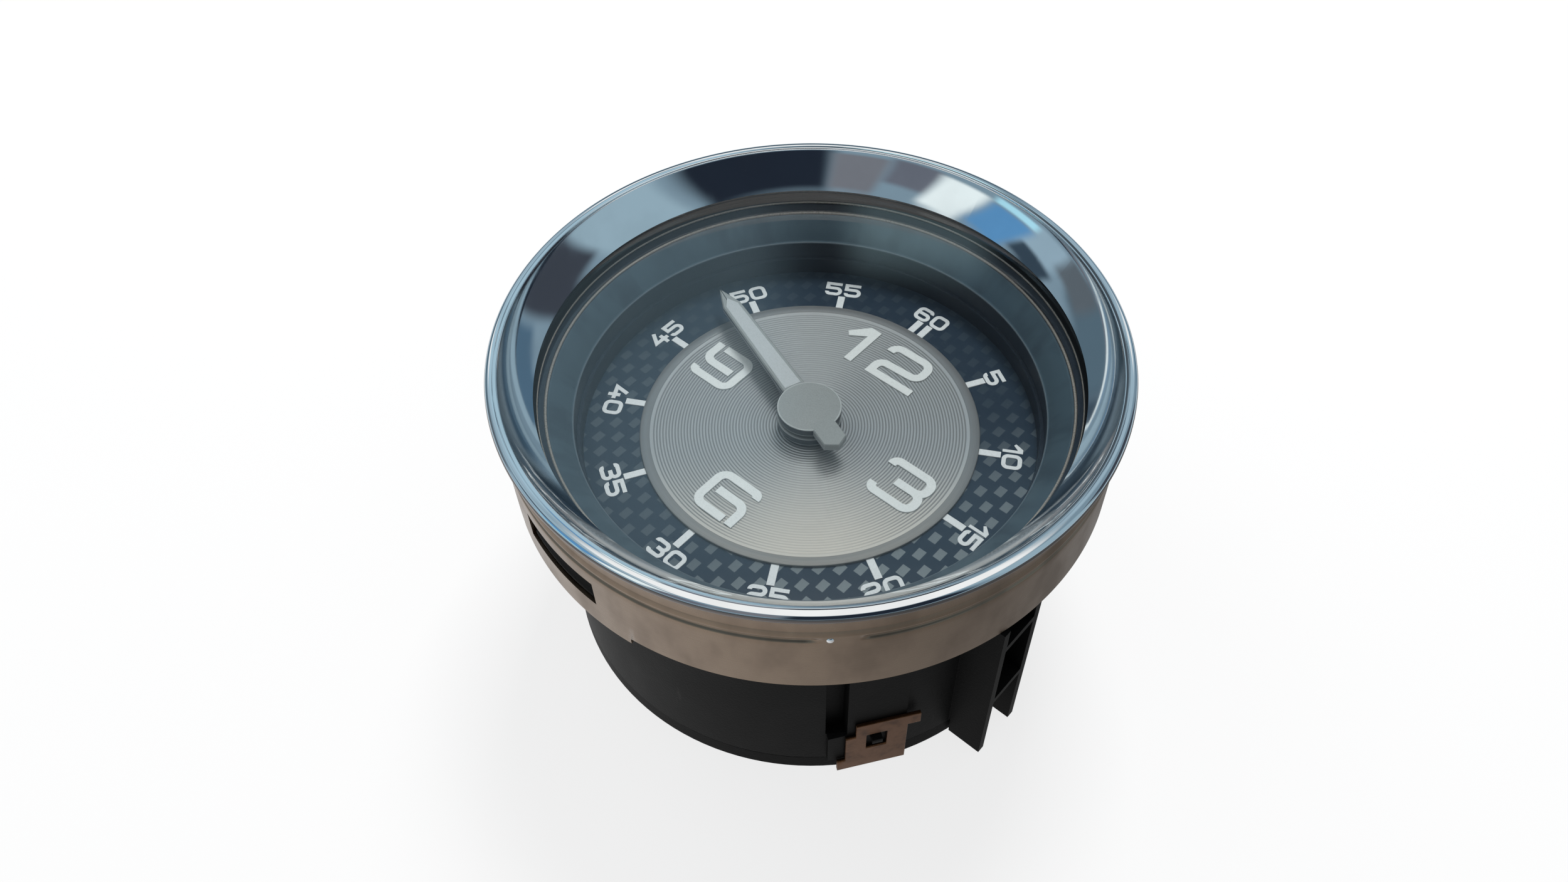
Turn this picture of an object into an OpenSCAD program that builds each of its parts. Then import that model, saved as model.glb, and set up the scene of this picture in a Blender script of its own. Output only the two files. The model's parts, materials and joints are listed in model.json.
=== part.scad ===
// Car dashboard clock: a round quartz clock with a bright bezel, a flat lens, a deep dial
// and a black drum housing with a plug socket and two sheet-metal retaining clips.
// It lies on its rear cover with the face up. Twelve o'clock is towards +Y. Millimetres.

/* [Case] */
// Height from the rear face to the top of the rim
case_h = 34.8; // [34:0.2:40]
// How far the drum lies inside the rim
drum_inset = 4; // [3.4:0.1:4.2]
// Wall of the drum
drum_wall = 2; // [1.8:0.1:2.2]
// Thickness of the rear cover's plate
cover_t = 2; // [1.8:0.1:2.6]
// Thickness of the flange that carries the cup on the drum
flange_t = 1.5; // [1.2:0.1:2]
// Wall of the cup inside the bezel
cup_wall = 1.5; // [1.2:0.1:1.6]
// Play between parts that drop into each other
fit_gap = 0.2; // [0.1:0.05:0.25]
// Running clearance of arbors and pipes, on the radius
run_gap = 0.05; // [0.02:0.01:0.08]
// Clearance of pressed and screwed parts, on the radius
seat_gap = 0.02; // [0.01:0.01:0.04]

/* [Bezel] */
// Outside diameter of the rim
rim_d = 60; // [59.8:0.2:64]
// Width of the ring on top of the rim
rim_w = 1.2; // [1:0.1:1.4]
// Height of the rim's outer edge
rim_h = 1.2; // [0.8:0.1:1.6]
// How far the neck lies inside the rim
neck_inset = 0.75; // [0.6:0.05:0.9]
// How far the skirt lies inside the rim
skirt_inset = 0.55; // [0.4:0.05:0.7]
// Wall of the skirt
skirt_wall = 0.8; // [0.6:0.05:1]
// Height from the top of the rim to the lower edge of the skirt
bezel_h = 11.75; // [11:0.25:12.5]
// Depth of the groove below the top of the rim
groove_drop = 3.9; // [3.4:0.1:4.6]
// Width of the groove, top to bottom
groove_w = 0.9; // [0.6:0.1:1.4]
// Depth of the groove into the skirt
groove_d = 0.3; // [0.1:0.05:0.4]
// Direction of the pip beside the groove
pip_az = -46; // [-60:1:-30]
// Length of the plain stretch that breaks the groove at the pip
pip_gap = 3; // [2:0.5:6]
// Radius of the pip
pip_r = 0.32; // [0.2:0.02:0.4]
// How far the pip stands out
pip_h = 0.15; // [0.1:0.01:0.2]
// Radial width of the hollow cone between rim and lens
cone_w = 2.7; // [2.4:0.1:2.9]
// Depth of the cone, from the top of the rim to the lens
cone_depth = 3.7; // [3.2:0.1:4.2]
// How far the cone's profile is hollowed
cone_sag = 0.3; // [0.1:0.05:0.5]
// Direction of the first latch window
latch_az = -98; // [-110:1:-90]
// Width of a latch window
window_w = 10; // [8:0.5:12]
// Height of a latch window
window_h = 3.2; // [2.6:0.1:3.6]
// Depth of a latch window below the top of the rim
window_drop = 6.2; // [5.8:0.1:6.6]
// Width of the longer stretch of skirt under a window
tab_w = 17; // [14:1:20]
// How much longer the skirt is there
tab_drop = 0.75; // [0.4:0.05:1]

/* [Lens and dial] */
// Thickness of the lens
lens_t = 1.5; // [1.2:0.1:2]
// Thickness of the lens gasket
gasket_t = 0.4; // [0.3:0.1:0.6]
// Width of the lens gasket
gasket_w = 0.75; // [0.6:0.05:0.9]
// Depth of the dial below the top of the rim
dial_depth = 12.5; // [12:0.1:12.9]
// Radial width of the surround's cone, inside the lens in view
surround_w = 3.1; // [2.7:0.1:3.4]
// Width of the sill at the foot of the surround
sill_w = 0.4; // [0.2:0.05:0.6]
// Depth of that edge below the top of the rim
surround_edge_drop = 8.5; // [8:0.1:9.5]
// Thickness of the dial plate
dial_t = 0.8; // [0.6:0.1:1.2]
// Radius of the centre hole of the dial
dial_hole_r = 2.4; // [2.2:0.1:2.8]
// Radius of the bright disc on the dial
disc_r = 17; // [16.5:0.1:17.4]
// Thickness of the bright disc
disc_t = 0.2; // [0.15:0.05:0.4]
// Width of the disc's raised border
disc_border_w = 1; // [0.6:0.1:1.4]
// Height of the disc's raised border
disc_border_h = 0.06; // [0.04:0.02:0.12]
// Length of a five-minute mark
mark_len = 2; // [1.8:0.1:2.4]
// Width of a five-minute mark
mark_w = 0.76; // [0.5:0.02:1]
// Thickness of a five-minute mark
mark_t = 0.08; // [0.04:0.02:0.16]
// Distance between the two marks at twelve o'clock, centre to centre
twin_mark_gap = 1.2; // [1.1:0.1:1.8]
// Thickness of the light guide under the dial
guide_t = 1.5; // [1.2:0.1:2]
// Width of a light pipe, which stands on a lamp
pipe_w = 2.4; // [2:0.1:3]

/* [Hands] */
// Length of the minute hand from its axis to its tip
minute_len = 19.4; // [18:0.1:21]
// Length of the hour hand from its axis to its tip
hour_len = 11.6; // [10:0.1:14]
// Radius of a hand's hub
hub_r = 3.2; // [2.8:0.1:3.6]
// Thickness of a hub
hub_t = 0.9; // [0.8:0.1:1]
// Thickness of a hand's blade
blade_t = 0.6; // [0.5:0.05:0.8]
// Width of a blade at its hub
blade_w = 2.5; // [2.2:0.1:2.8]
// Width of a blade where its point starts
blade_tip_w = 2; // [1.7:0.1:2.2]
// Length of a blade's point
point_len = 2.7; // [2:0.1:3.2]
// Length of the tail beyond the hub
tail_len = 2.6; // [1.6:0.1:3]
// Width of the bright inlay in a blade
inlay_w = 1.6; // [1.2:0.1:1.7]
// Depth of the inlay's slot
inlay_d = 0.25; // [0.1:0.05:0.4]
// Air between the hour hub and the disc's border, and between the two hubs
hand_air = 0.5; // [0.4:0.05:0.6]
// Direction of the minute hand, from +X
minute_az = 160.4; // [0:0.1:360]
// Direction of the hour hand, from +X
hour_az = 155.9; // [0:0.1:360]

/* [Movement] */
// Thickness of the two movement plates
plate_t = 1.2; // [1:0.1:1.4]
// Space between the movement plates
plate_gap = 5.4; // [5.2:0.1:5.6]
// How far the movement plates lie inside the drum's bore
plate_inset = 5.2; // [5.1:0.1:6]
// Height of the motion work between the front plate and the light guide
motion_h = 1.2; // [1.1:0.05:1.3]
// Tooth module of the going train
train_m = 0.2; // [0.19:0.005:0.21]
// Tooth module of the cannon pinion and motion wheel
motion_m = 0.25; // [0.24:0.005:0.26]
// Thickness of a wheel
wheel_t = 0.5; // [0.4:0.05:0.6]
// Thickness of a pinion in the going train
pinion_t = 1.2; // [1:0.1:1.3]
// Radius of the minute arbor
arbor_r = 0.7; // [0.6:0.02:0.75]
// Outside radius of the cannon pinion's pipe
cannon_r = 1.15; // [1.1:0.01:1.2]
// Wall of the hour wheel's pipe
hour_pipe_wall = 0.5; // [0.4:0.05:0.6]
// Radius of the small pivots
pivot_r = 0.4; // [0.3:0.02:0.45]
// Radius of the rotor magnet
magnet_r = 1.2; // [1:0.1:1.4]
// Height of the rotor magnet
magnet_h = 1.2; // [1:0.1:1.4]
// Air between the rotor magnet and the stator
magnet_air = 0.4; // [0.3:0.05:0.5]
// Thickness of the stator and the coil core
iron_t = 0.8; // [0.6:0.05:0.9]
// Width of the stator's arms
iron_w = 2; // [1.6:0.1:2.2]
// Radius of the coil bobbin's flanges
bobbin_r = 2.1; // [1.9:0.05:2.15]
// Radius of a movement pillar
pillar_r = 1.3; // [1.1:0.1:1.5]

/* [Board and socket] */
// Space between the circuit board and the movement, for what stands on the board
board_gap = 2.8; // [2.6:0.1:3.2]
// Thickness of the circuit board
board_t = 1.2; // [1:0.1:1.4]
// How far the socket's mouth lies inside the rim
mouth_inset = 1.1; // [1:0.1:1.5]
// Width of the plug socket, inside
socket_w = 4.3; // [4.2:0.1:4.8]
// How far the middle of the plug socket lies to the six o'clock side of the three o'clock line
socket_shift = 4.35; // [4:0.05:5]
// Height of the plug socket, inside
socket_h = 8.8; // [8:0.1:9]
// Depth of the plug socket
socket_d = 8.5; // [8:0.1:8.8]
// Wall of the plug socket
socket_wall = 0.85; // [0.8:0.05:1.1]
// How far the pins reach into the socket
pin_reach = 3.8; // [3:0.1:4]
// Width of a pin
pin_w = 0.8; // [0.6:0.05:1]
// Thickness of a pin
pin_t = 0.6; // [0.4:0.05:0.7]
// Distance between pins
pin_pitch = 2.5; // [2:0.1:3]

/* [Clips and screws] */
// Direction of the first retaining clip
clip_az = -35; // [-36:1:-34]
// Sheet thickness of a clip
clip_t = 0.4; // [0.3:0.05:0.6]
// Width of a clip
clip_w = 6.2; // [5.6:0.1:6.6]
// Height of the clip's upper edge above the rear face
clip_top = 8.9; // [8.4:0.1:10]
// Height of the clip's foot above the rear face
clip_foot = 0.4; // [0.3:0.05:0.8]
// Width of the clip's window
clip_hole_w = 2.1; // [1.8:0.1:2.6]
// Height of the clip's window
clip_hole_h = 2.8; // [2.4:0.1:3.2]
// Width of the pocket beside a clip's pad
pocket_w = 1.9; // [1.4:0.1:2.4]
// Depth of the pocket into the drum
pocket_d = 1.4; // [1:0.1:1.5]
// Height of the pocket's floor above the rear face
pocket_floor = 7; // [6:0.2:9]
// How far the case screws lie inside the drum's bore
screw_inset = 2.5; // [2.4:0.05:2.7]
// Radius of a case screw's shank
screw_r = 1; // [0.8:0.05:1.1]
// Radius of a case screw's head
screw_head_r = 1.8; // [1.5:0.05:1.9]
// Height of a case screw's head
screw_head_h = 0.8; // [0.6:0.05:0.9]
// Length of a case screw's shank
screw_len = 5.4; // [4.4:0.1:5.6]
// Radius of a movement screw's shank
small_screw_r = 0.5; // [0.4:0.05:0.6]

/* [Hidden] */
$fn = 96;

// How far a cutter runs past the face that it opens
over = 0.5;
// Steps on each small arc of a profile, and on the cone
arc_steps = 6;
cone_steps = 8;

function polar(r, a) = r * [cos(a), sin(a)];
function on_circle(r, azs) = [for (a = azs) polar(r, a)];
// Arc about a centre, from one angle to another
function arc(c, r, a0, a1) = [for (i = [0:arc_steps]) c + polar(r, a0 + (a1 - a0) * i / arc_steps)];
// Angle that a width takes up on a radius
function width_angle(w, r) = 2 * asin(w / 2 / r);
// Square-edged profile of a turned band
function band(r0, r1, z0, z1) = [[r0, z0], [r1, z0], [r1, z1], [r0, z1]];
// Strip of a given width between two points
function strip(a, b, w) =
    let(d = (b - a) / norm(b - a), n = w / 2 * [-d[1], d[0]]) [a + n, a - n, b - n, b + n];

// Radii, from the rim inwards
rim_r = rim_d / 2;
neck_r = rim_r - neck_inset;
skirt_r = rim_r - skirt_inset;
skirt_in_r = skirt_r - skirt_wall;
cone_top_r = rim_r - rim_w;
lens_view_r = cone_top_r - cone_w;
cup_r = skirt_in_r - fit_gap;
cup_in_r = cup_r - cup_wall;
lens_r = cup_in_r - fit_gap;
gasket_in_r = lens_r - gasket_w;
surround_edge_r = lens_view_r - surround_w;
dial_view_r = surround_edge_r - sill_w;
drum_r = rim_r - drum_inset;
drum_in_r = drum_r - drum_wall;
inside_r = drum_in_r - 2 * fit_gap;
spigot_r = drum_in_r - fit_gap;
plate_r = drum_in_r - plate_inset;
screw_circle_r = drum_in_r - screw_inset;
// Middle of the drum's wall, where what is moulded on to it starts
root_r = drum_r - drum_wall / 2;

// Levels, from the rim down to the light guide under the dial
lens_top_z = case_h - cone_depth;
lens_z = lens_top_z - lens_t;
surround_top_z = lens_z - gasket_t;
groove_top_z = case_h - groove_drop;
window_z = case_h - window_drop - window_h;
skirt_z = case_h - bezel_h;
tab_z = skirt_z - tab_drop;
dial_z = case_h - dial_depth;
guide_top_z = dial_z - dial_t;
guide_z = guide_top_z - guide_t;
cup_top_z = lens_top_z - fit_gap;
// The flange shows this much below the lower edge of the skirt
flange_drop = 1.15;
flange_z = skirt_z - flange_drop;
flange_top_z = flange_z + flange_t;

// Levels of the movement and the board, from the light guide down, and height of the cover's pillars
front_top_z = guide_z - motion_h;
front_z = front_top_z - plate_t;
back_top_z = front_z - plate_gap;
back_z = back_top_z - plate_t;
board_top_z = back_z - board_gap;
board_z = board_top_z - board_t;
stand_h = board_z - cover_t;
lamp_h = 0.7;

// Three lugs in the drum take the movement from the front and the board from the rear
lug_azs = [60, 180, 300];
lug_w = 4.6;
lug_in_r = plate_r + 2 * fit_gap;
case_screws = on_circle(screw_circle_r, lug_azs);
screw_hole_r = screw_r + seat_gap + run_gap;
pilot_r = screw_r + seat_gap;
ear_r = screw_hole_r + 0.9;
// The rear screws seat deep in the cover's hollow pillars, on a web of this thickness
seat_web = 0.6;
rear_seat_z = board_z - seat_web;
rear_bite = screw_len - board_t - seat_web;
front_bite = screw_len - plate_t;
head_bore_r = screw_head_r + fit_gap / 2;
cover_pillar_wall = 0.5;
spigot_h = 0.32 * stand_h;

// Lamps and light pipes, feet of the light guide, and pillars of the movement
lamp_azs = [45, 135, 225, 315];
lamp_r = inside_r - pipe_w;
guide_foot_r = 1.4;
guide_feet = on_circle(plate_r - 1.6 * guide_foot_r, [30, 150, 270]);
pillars = on_circle(plate_r - 2 * pillar_r, [20, 115, 305]);

// Going train: rotor, intermediate wheel, centre wheel
centre_teeth = 64;
leaf_teeth = 8;
intermediate_teeth = 60;
intermediate_az = 150;
rotor_az = 220;
intermediate_at = polar(train_m * (centre_teeth + leaf_teeth) / 2, intermediate_az);
rotor_at = intermediate_at + polar(train_m * (intermediate_teeth + leaf_teeth) / 2, rotor_az);

// Motion work: cannon pinion, motion wheel and its pinion, hour wheel
cannon_teeth = 12;
motion_teeth = 36;
motion_leaf_teeth = 10;
hour_teeth = 40;
motion_az = -90;
motion_distance = motion_m * (cannon_teeth + motion_teeth) / 2;
motion_at = polar(motion_distance, motion_az);
hour_m = 2 * motion_distance / (hour_teeth + motion_leaf_teeth);

// Tooth form, in modules and in shares of the pitch: corners from root to tip and back
addendum = 0.9;
tooth = [[-1.3, -0.21], [addendum, -0.09], [addendum, 0.09], [-1.3, 0.21]];
function gear_outline(n, m) =
    [for (i = [0:n - 1], c = tooth) polar(m * (n / 2 + c[0]), (i + c[1]) * 360 / n)];
// Turn of a follower, so that a gap faces the tooth that the driver points along the line of centres
function mesh_turn(line_az, n) = line_az + 180 + 180 / n;

// Levels of the wheels. Shake is the play of an arbor between its plates
shake = 0.2;
intermediate_wheel_z = back_top_z + 2 * wheel_t;
rotor_pinion_z = intermediate_wheel_z - (pinion_t - wheel_t) / 2;
centre_wheel_z = intermediate_wheel_z + 4 * wheel_t;
centre_pinion_z = centre_wheel_z - (pinion_t - wheel_t) / 2;
magnet_z = rotor_pinion_z + pinion_t + wheel_t;
stator_z = magnet_z + (magnet_h - iron_t) / 2;
cannon_z = front_top_z + shake;
cannon_t = wheel_t + shake;
hour_wheel_z = cannon_z + cannon_t + shake;

// Radii of arbors, bushes and pipes
collar_r = arbor_r + 0.2;
bush_r = arbor_r + run_gap + 0.8;
cannon_bore_r = arbor_r + seat_gap;
cannon_top_r = cannon_r - 0.2;
hour_bore_r = cannon_r + run_gap;
hour_pipe_r = hour_bore_r + hour_pipe_wall;
post_r = pivot_r + 0.15;
leaf_arbor_r = pivot_r + 0.1;
pivot_hole_r = pivot_r + run_gap;

// Hands, one over the other
hour_hub_z = dial_z + disc_t + disc_border_h + hand_air;
minute_hub_z = hour_hub_z + hub_t + hand_air;
blade_lift = (hub_t - blade_t) / 2;
hub_crown = 0.2;
inlay_start = hub_r + 0.3;
inlay_margin = 0.1;
function inlay_end(len) = len - point_len - inlay_margin;

// Coil along X, past the centre wheel and the stator's yoke, with the stator's feet on the ends of its core
core_w = 1.8;
coil_end_gap = 0.3;
centre_tip_r = train_m * (centre_teeth / 2 + addendum);
yoke_y = -(centre_tip_r + magnet_air + iron_w / 2);
coil_y = yoke_y - iron_w / 2 - fit_gap - bobbin_r;
core_reach = plate_r - iron_w / 2;
core_ends = [[-sqrt(pow(core_reach, 2) - pow(coil_y, 2)), coil_y], [-0.07 * plate_r, coil_y]];
coil_x = (core_ends[0][0] + core_ends[1][0]) / 2;
bobbin_len = core_ends[1][0] - core_ends[0][0] - core_w - 2 * coil_end_gap;
core_z = stator_z - iron_t;
coil_z = core_z + iron_t / 2;
spool_r = 1.2;
spool_flange_t = 0.6;
small_head_r = 2 * small_screw_r;
small_head_h = small_screw_r;

// Plug socket on the three o'clock side, under the light guide
socket_top_z = guide_z - fit_gap - socket_wall;
socket_z = socket_top_z - socket_h;
mouth_x = rim_r - mouth_inset;
socket_x = mouth_x - socket_d;
socket_y = socket_w / 2 + socket_wall;
// Pins one above the other, each as [level, place of its tail]: the higher pin has its tail further in
pin_tail = 0.5;
pin_root_x = socket_x - socket_wall - 2 * pin_w;
pins = [for (i = [0:2])
    [socket_z + (socket_h - pin_t) / 2 + (i - 1) * pin_pitch, pin_root_x - i * pin_pitch / 2]];

// Clips on flat pads of the drum, and latches of the bezel, in opposite pairs
clip_azs = [clip_az, clip_az + 180];
latch_azs = [latch_az, latch_az + 180];
pad_w = clip_w - 0.2;
pad_r = drum_r + 0.15;
clip_hole_z = 4;
barb_d = clip_t + 0.35;
clip_arm = [1.25, 1.7];
clip_toe = [0.8, 1.8];
clip_corner = [1, 2.2];

module peg(p, r, z, h) {
    translate([p[0], p[1], z]) cylinder(r = r, h = h);
}

module hole(p, r, z, h) {
    peg(p, r, z - over, h + 2 * over);
}

// Ring about the axis, or a disc where the bore is 0
module ring(r, bore, z, h) {
    difference() {
        peg([0, 0], r, z, h);
        if (bore > 0) hole([0, 0], bore, z, h);
    }
}

module turned_to(azs) {
    for (a = azs) rotate(a) children();
}

// Parts of a turned ring, each centred on a direction
module sector(azs, angle, profile) {
    for (a = azs) rotate(a - angle / 2) rotate_extrude(angle = angle) polygon(profile);
}

module gear(p, n, m, z, h, turn) {
    translate([p[0], p[1], z]) rotate(turn) linear_extrude(h) polygon(gear_outline(n, m));
}

// Pan-head screw that points up, with its seat at the given height
module screw(p, z, r, len, head_r, head_h) {
    slot = [1.2 * head_r, head_r / 3, head_h / 2 + over];
    difference() {
        union() {
            peg(p, head_r, z - head_h, head_h);
            peg(p, r, z - head_h / 2, len + head_h / 2);
        }
        for (a = [0, 90]) translate([p[0], p[1], z - head_h - over]) rotate(a)
            translate([-slot[0] / 2, -slot[1] / 2, 0]) cube(slot);
    }
}

// The same screw upside down
module screw_down(p, z, r, len, head_r, head_h) {
    translate([0, 0, 2 * z]) mirror([0, 0, 1]) screw(p, z, r, len, head_r, head_h);
}

// Bezel: one turned profile, cut by the groove, the windows and the shorter stretches of edge
module bezel_ring() {
    lip_r = rim_h / 2;
    crown_r = rim_w / 4;
    cone = [for (i = [0:cone_steps]) let(t = i / cone_steps)
        [lens_view_r + cone_w * t + 4 * cone_sag * t * (1 - t), lens_top_z + (cone_depth - crown_r) * t]];
    rotate_extrude() polygon(concat(
        cone,
        arc([cone_top_r + crown_r, case_h - crown_r], crown_r, 150, 90),
        arc([rim_r - lip_r, case_h - lip_r], lip_r, 80, -80),
        [
            [neck_r, case_h - rim_h - neck_inset / 3],
            [neck_r, groove_top_z + groove_w / 2],
            [skirt_r, groove_top_z + groove_w / 4],
            [skirt_r, tab_z],
            [skirt_in_r, tab_z],
            [skirt_in_r, lens_top_z],
            [skirt_in_r - skirt_wall / 2, lens_top_z + cone_depth / 2],
            [lens_r + fit_gap, lens_top_z]
        ]
    ));
}

module bezel() {
    plain_angle = width_angle(pip_gap, skirt_r);
    plain_az = pip_az + plain_angle / 2 - width_angle(2 * pip_r, skirt_r);
    short_angle = 180 - width_angle(tab_w, skirt_r);
    window_angle = width_angle(window_w, skirt_r);
    outside = skirt_r + over;
    inside = skirt_in_r - over;
    color("lightsteelblue") union() {
        difference() {
            bezel_ring();
            sector([plain_az + 180], 360 - plain_angle,
                band(skirt_r - groove_d, outside, groove_top_z - groove_w, groove_top_z));
            sector([for (a = latch_azs) a + 90], short_angle, band(inside, outside, tab_z - over, skirt_z));
            sector(latch_azs, window_angle, band(inside, outside, window_z, window_z + window_h));
        }
        rotate(pip_az) translate([skirt_r - skirt_wall / 2, 0, groove_top_z - groove_w / 2])
            rotate([0, 90, 0]) cylinder(r = pip_r, h = skirt_wall / 2 + pip_h);
    }
}

module lens() {
    chamfer = lens_t / 6;
    color("lightcyan", 0.35) rotate_extrude() polygon([
        [0, lens_z], [lens_r - chamfer, lens_z], [lens_r, lens_z + chamfer],
        [lens_r, lens_top_z - chamfer], [lens_r - chamfer, lens_top_z], [0, lens_top_z]
    ]);
}

module lens_gasket() {
    color("black") ring(lens_r, gasket_in_r, surround_top_z, gasket_t);
}

// Stepped funnel from the gasket down to the dial
module dial_surround() {
    step_r = gasket_in_r - 0.5;
    step_z = surround_top_z - 0.6;
    step_w = 0.2;
    edge_z = case_h - surround_edge_drop;
    sill_z = (dial_z + edge_z) / 2;
    color("dimgray") rotate_extrude() polygon([
        [dial_view_r, dial_z], [spigot_r, dial_z], [spigot_r, flange_top_z], [lens_r, flange_top_z],
        [lens_r, surround_top_z], [gasket_in_r, surround_top_z], [step_r, step_z + step_w], [step_r, step_z],
        [step_r - step_w, step_z], [surround_edge_r, edge_z], [surround_edge_r, sill_z], [dial_view_r, sill_z]
    ]);
}

module dial_plate() {
    color("darkslategray") ring(inside_r, dial_hole_r, guide_top_z, dial_t);
}

module dial_disc() {
    color("silver") union() {
        ring(disc_r, dial_hole_r, dial_z, disc_t);
        ring(disc_r, disc_r - disc_border_w, dial_z, disc_t + disc_border_h);
    }
}

module hour_marks() {
    start = disc_r + fit_gap / 4;
    color("white") for (hour = [0:11]) rotate(90 - 30 * hour)
        for (s = hour == 0 ? [-1, 1] : [0])
            translate([start, s * twin_mark_gap / 2 - mark_w / 2, dial_z]) cube([mark_len, mark_w, mark_t]);
}

module light_guide() {
    hole_r = motion_distance + motion_m * (motion_teeth / 2 + addendum) + 1;
    pipe_z = board_top_z + lamp_h + fit_gap;
    color("ghostwhite") union() {
        ring(inside_r, hole_r, guide_z, guide_t);
        for (p = guide_feet) peg(p, guide_foot_r, front_top_z, motion_h + over);
        turned_to(lamp_azs) translate([lamp_r - pipe_w / 2, -pipe_w / 2, pipe_z])
            cube([pipe_w, pipe_w, guide_z - pipe_z + over]);
    }
}

// Housing: a turned shell with what is moulded on to it
module drum_shell() {
    rotate_extrude() polygon([
        [drum_in_r, cover_t], [drum_r, cover_t], [drum_r, flange_z], [cup_r, flange_z], [cup_r, cup_top_z],
        [cup_in_r, cup_top_z], [cup_in_r, flange_top_z], [drum_in_r, flange_top_z]
    ]);
}

module lugs() {
    turned_to(lug_azs) translate([lug_in_r, -lug_w / 2, board_top_z])
        cube([root_r - lug_in_r, lug_w, front_z - board_top_z]);
}

// Socket box through the drum's wall, between two fins that reach from the rear face to the skirt
module socket_shell() {
    fin_top = skirt_z - 2 * fit_gap;
    fin_x = drum_in_r + drum_wall / 6;
    box_x = socket_x - socket_wall;
    box_y = socket_y + fit_gap / 2;
    low = socket_z - socket_wall;
    high = socket_top_z + socket_wall;
    difference() {
        union() {
            translate([fin_x, -socket_shift - socket_y, 0]) cube([mouth_x - fin_x, 2 * socket_y, fin_top]);
            translate([box_x, -socket_shift - box_y, low])
                cube([fin_x + 2 * fit_gap - box_x, 2 * box_y, high - low]);
        }
        translate([fin_x - over, -socket_shift - socket_w / 2, 0]) {
            translate([0, 0, -over]) cube([socket_d, socket_w, low + over]);
            translate([0, 0, high]) cube([socket_d, socket_w, fin_top - high + over]);
        }
        hole([0, 0], drum_r + fit_gap, 0, cover_t + fit_gap - over);
    }
}

module clip_pads() {
    foot_z = cover_t + fit_gap;
    turned_to(clip_azs) {
        translate([root_r, -pad_w / 2, foot_z])
            cube([pad_r - root_r, pad_w, flange_z + flange_t / 2 - foot_z]);
        translate([root_r, fit_gap / 2 - pad_w / 2 - pocket_w, foot_z + run_gap])
            cube([pad_r - seat_gap - root_r, pocket_w + over, pocket_floor - fit_gap - foot_z]);
        translate([root_r, -clip_hole_w / 4, clip_hole_z + clip_hole_h / 2])
            cube([pad_r + barb_d - root_r, clip_hole_w / 2, clip_hole_h / 4]);
    }
}

module clip_pockets() {
    turned_to(clip_azs) translate([drum_r - pocket_d, -pad_w / 2 - pocket_w, pocket_floor])
        cube([pocket_d + over, pocket_w + fit_gap / 2, flange_z - fit_gap - pocket_floor]);
}

module latch_tabs() {
    play = 2 * fit_gap;
    low = window_z + play;
    tip_r = skirt_r - skirt_wall / 3;
    heel_r = cup_r - cup_wall / 2;
    sector(latch_azs, width_angle(window_w - 2 * play, skirt_r),
        [[heel_r, low], [tip_r, low], [tip_r, low + play], [heel_r, window_z + window_h]]);
}

module housing() {
    color("#202022") difference() {
        union() {
            drum_shell();
            lugs();
            socket_shell();
            clip_pads();
            latch_tabs();
        }
        translate([socket_x, -socket_shift - socket_w / 2, socket_z])
            cube([socket_d + over, socket_w, socket_h]);
        for (p = pins)
            translate([socket_x - socket_wall - over, -socket_shift - pin_w / 2 - run_gap, p[0] - run_gap])
                cube([socket_wall + 2 * over, pin_w + 2 * run_gap, pin_t + 2 * run_gap]);
        clip_pockets();
        for (p = case_screws) {
            peg(p, pilot_r, board_top_z - over, rear_bite + 2 * over);
            peg(p, pilot_r, front_z - front_bite - over, front_bite + 2 * over);
        }
    }
}

module rear_cover() {
    color("#262628") difference() {
        union() {
            ring(drum_r, 0, 0, cover_t);
            ring(spigot_r, spigot_r - drum_wall / 2, cover_t - over, spigot_h + over);
            for (p = case_screws) peg(p, head_bore_r + cover_pillar_wall, cover_t - over, stand_h + over);
        }
        for (p = case_screws) {
            peg(p, head_bore_r, -over, rear_seat_z + over);
            hole(p, screw_hole_r, 0, board_z);
        }
    }
}

module rear_cover_screws() {
    color("silver") for (p = case_screws)
        screw(p, rear_seat_z, screw_r, screw_len, screw_head_r, screw_head_h);
}

module movement_screws() {
    color("silver") for (p = case_screws)
        screw_down(p, front_top_z, screw_r, screw_len, screw_head_r, screw_head_h);
}

// Sheet-metal clip on a flat pad: a plate with a window, an arm, a toe and a cut corner
module retaining_clips() {
    half = clip_w / 2;
    color("peru") turned_to(clip_azs) translate([pad_r, 0, 0]) difference() {
        union() {
            translate([0, -half, clip_foot]) cube([clip_t, clip_w, clip_top - clip_foot]);
            translate([0, half - over, clip_top - clip_arm[1]])
                cube([clip_t, clip_arm[0] + over, clip_arm[1]]);
            translate([0, -half - clip_toe[0], clip_foot]) cube([clip_t, clip_toe[0] + over, clip_toe[1]]);
        }
        translate([-over, -clip_hole_w / 2, clip_hole_z]) cube([clip_t + 2 * over, clip_hole_w, clip_hole_h]);
        translate([-over, -half - over, clip_top - clip_corner[1]])
            cube([clip_t + 2 * over, clip_corner[0] + over, clip_corner[1] + over]);
    }
}

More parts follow.
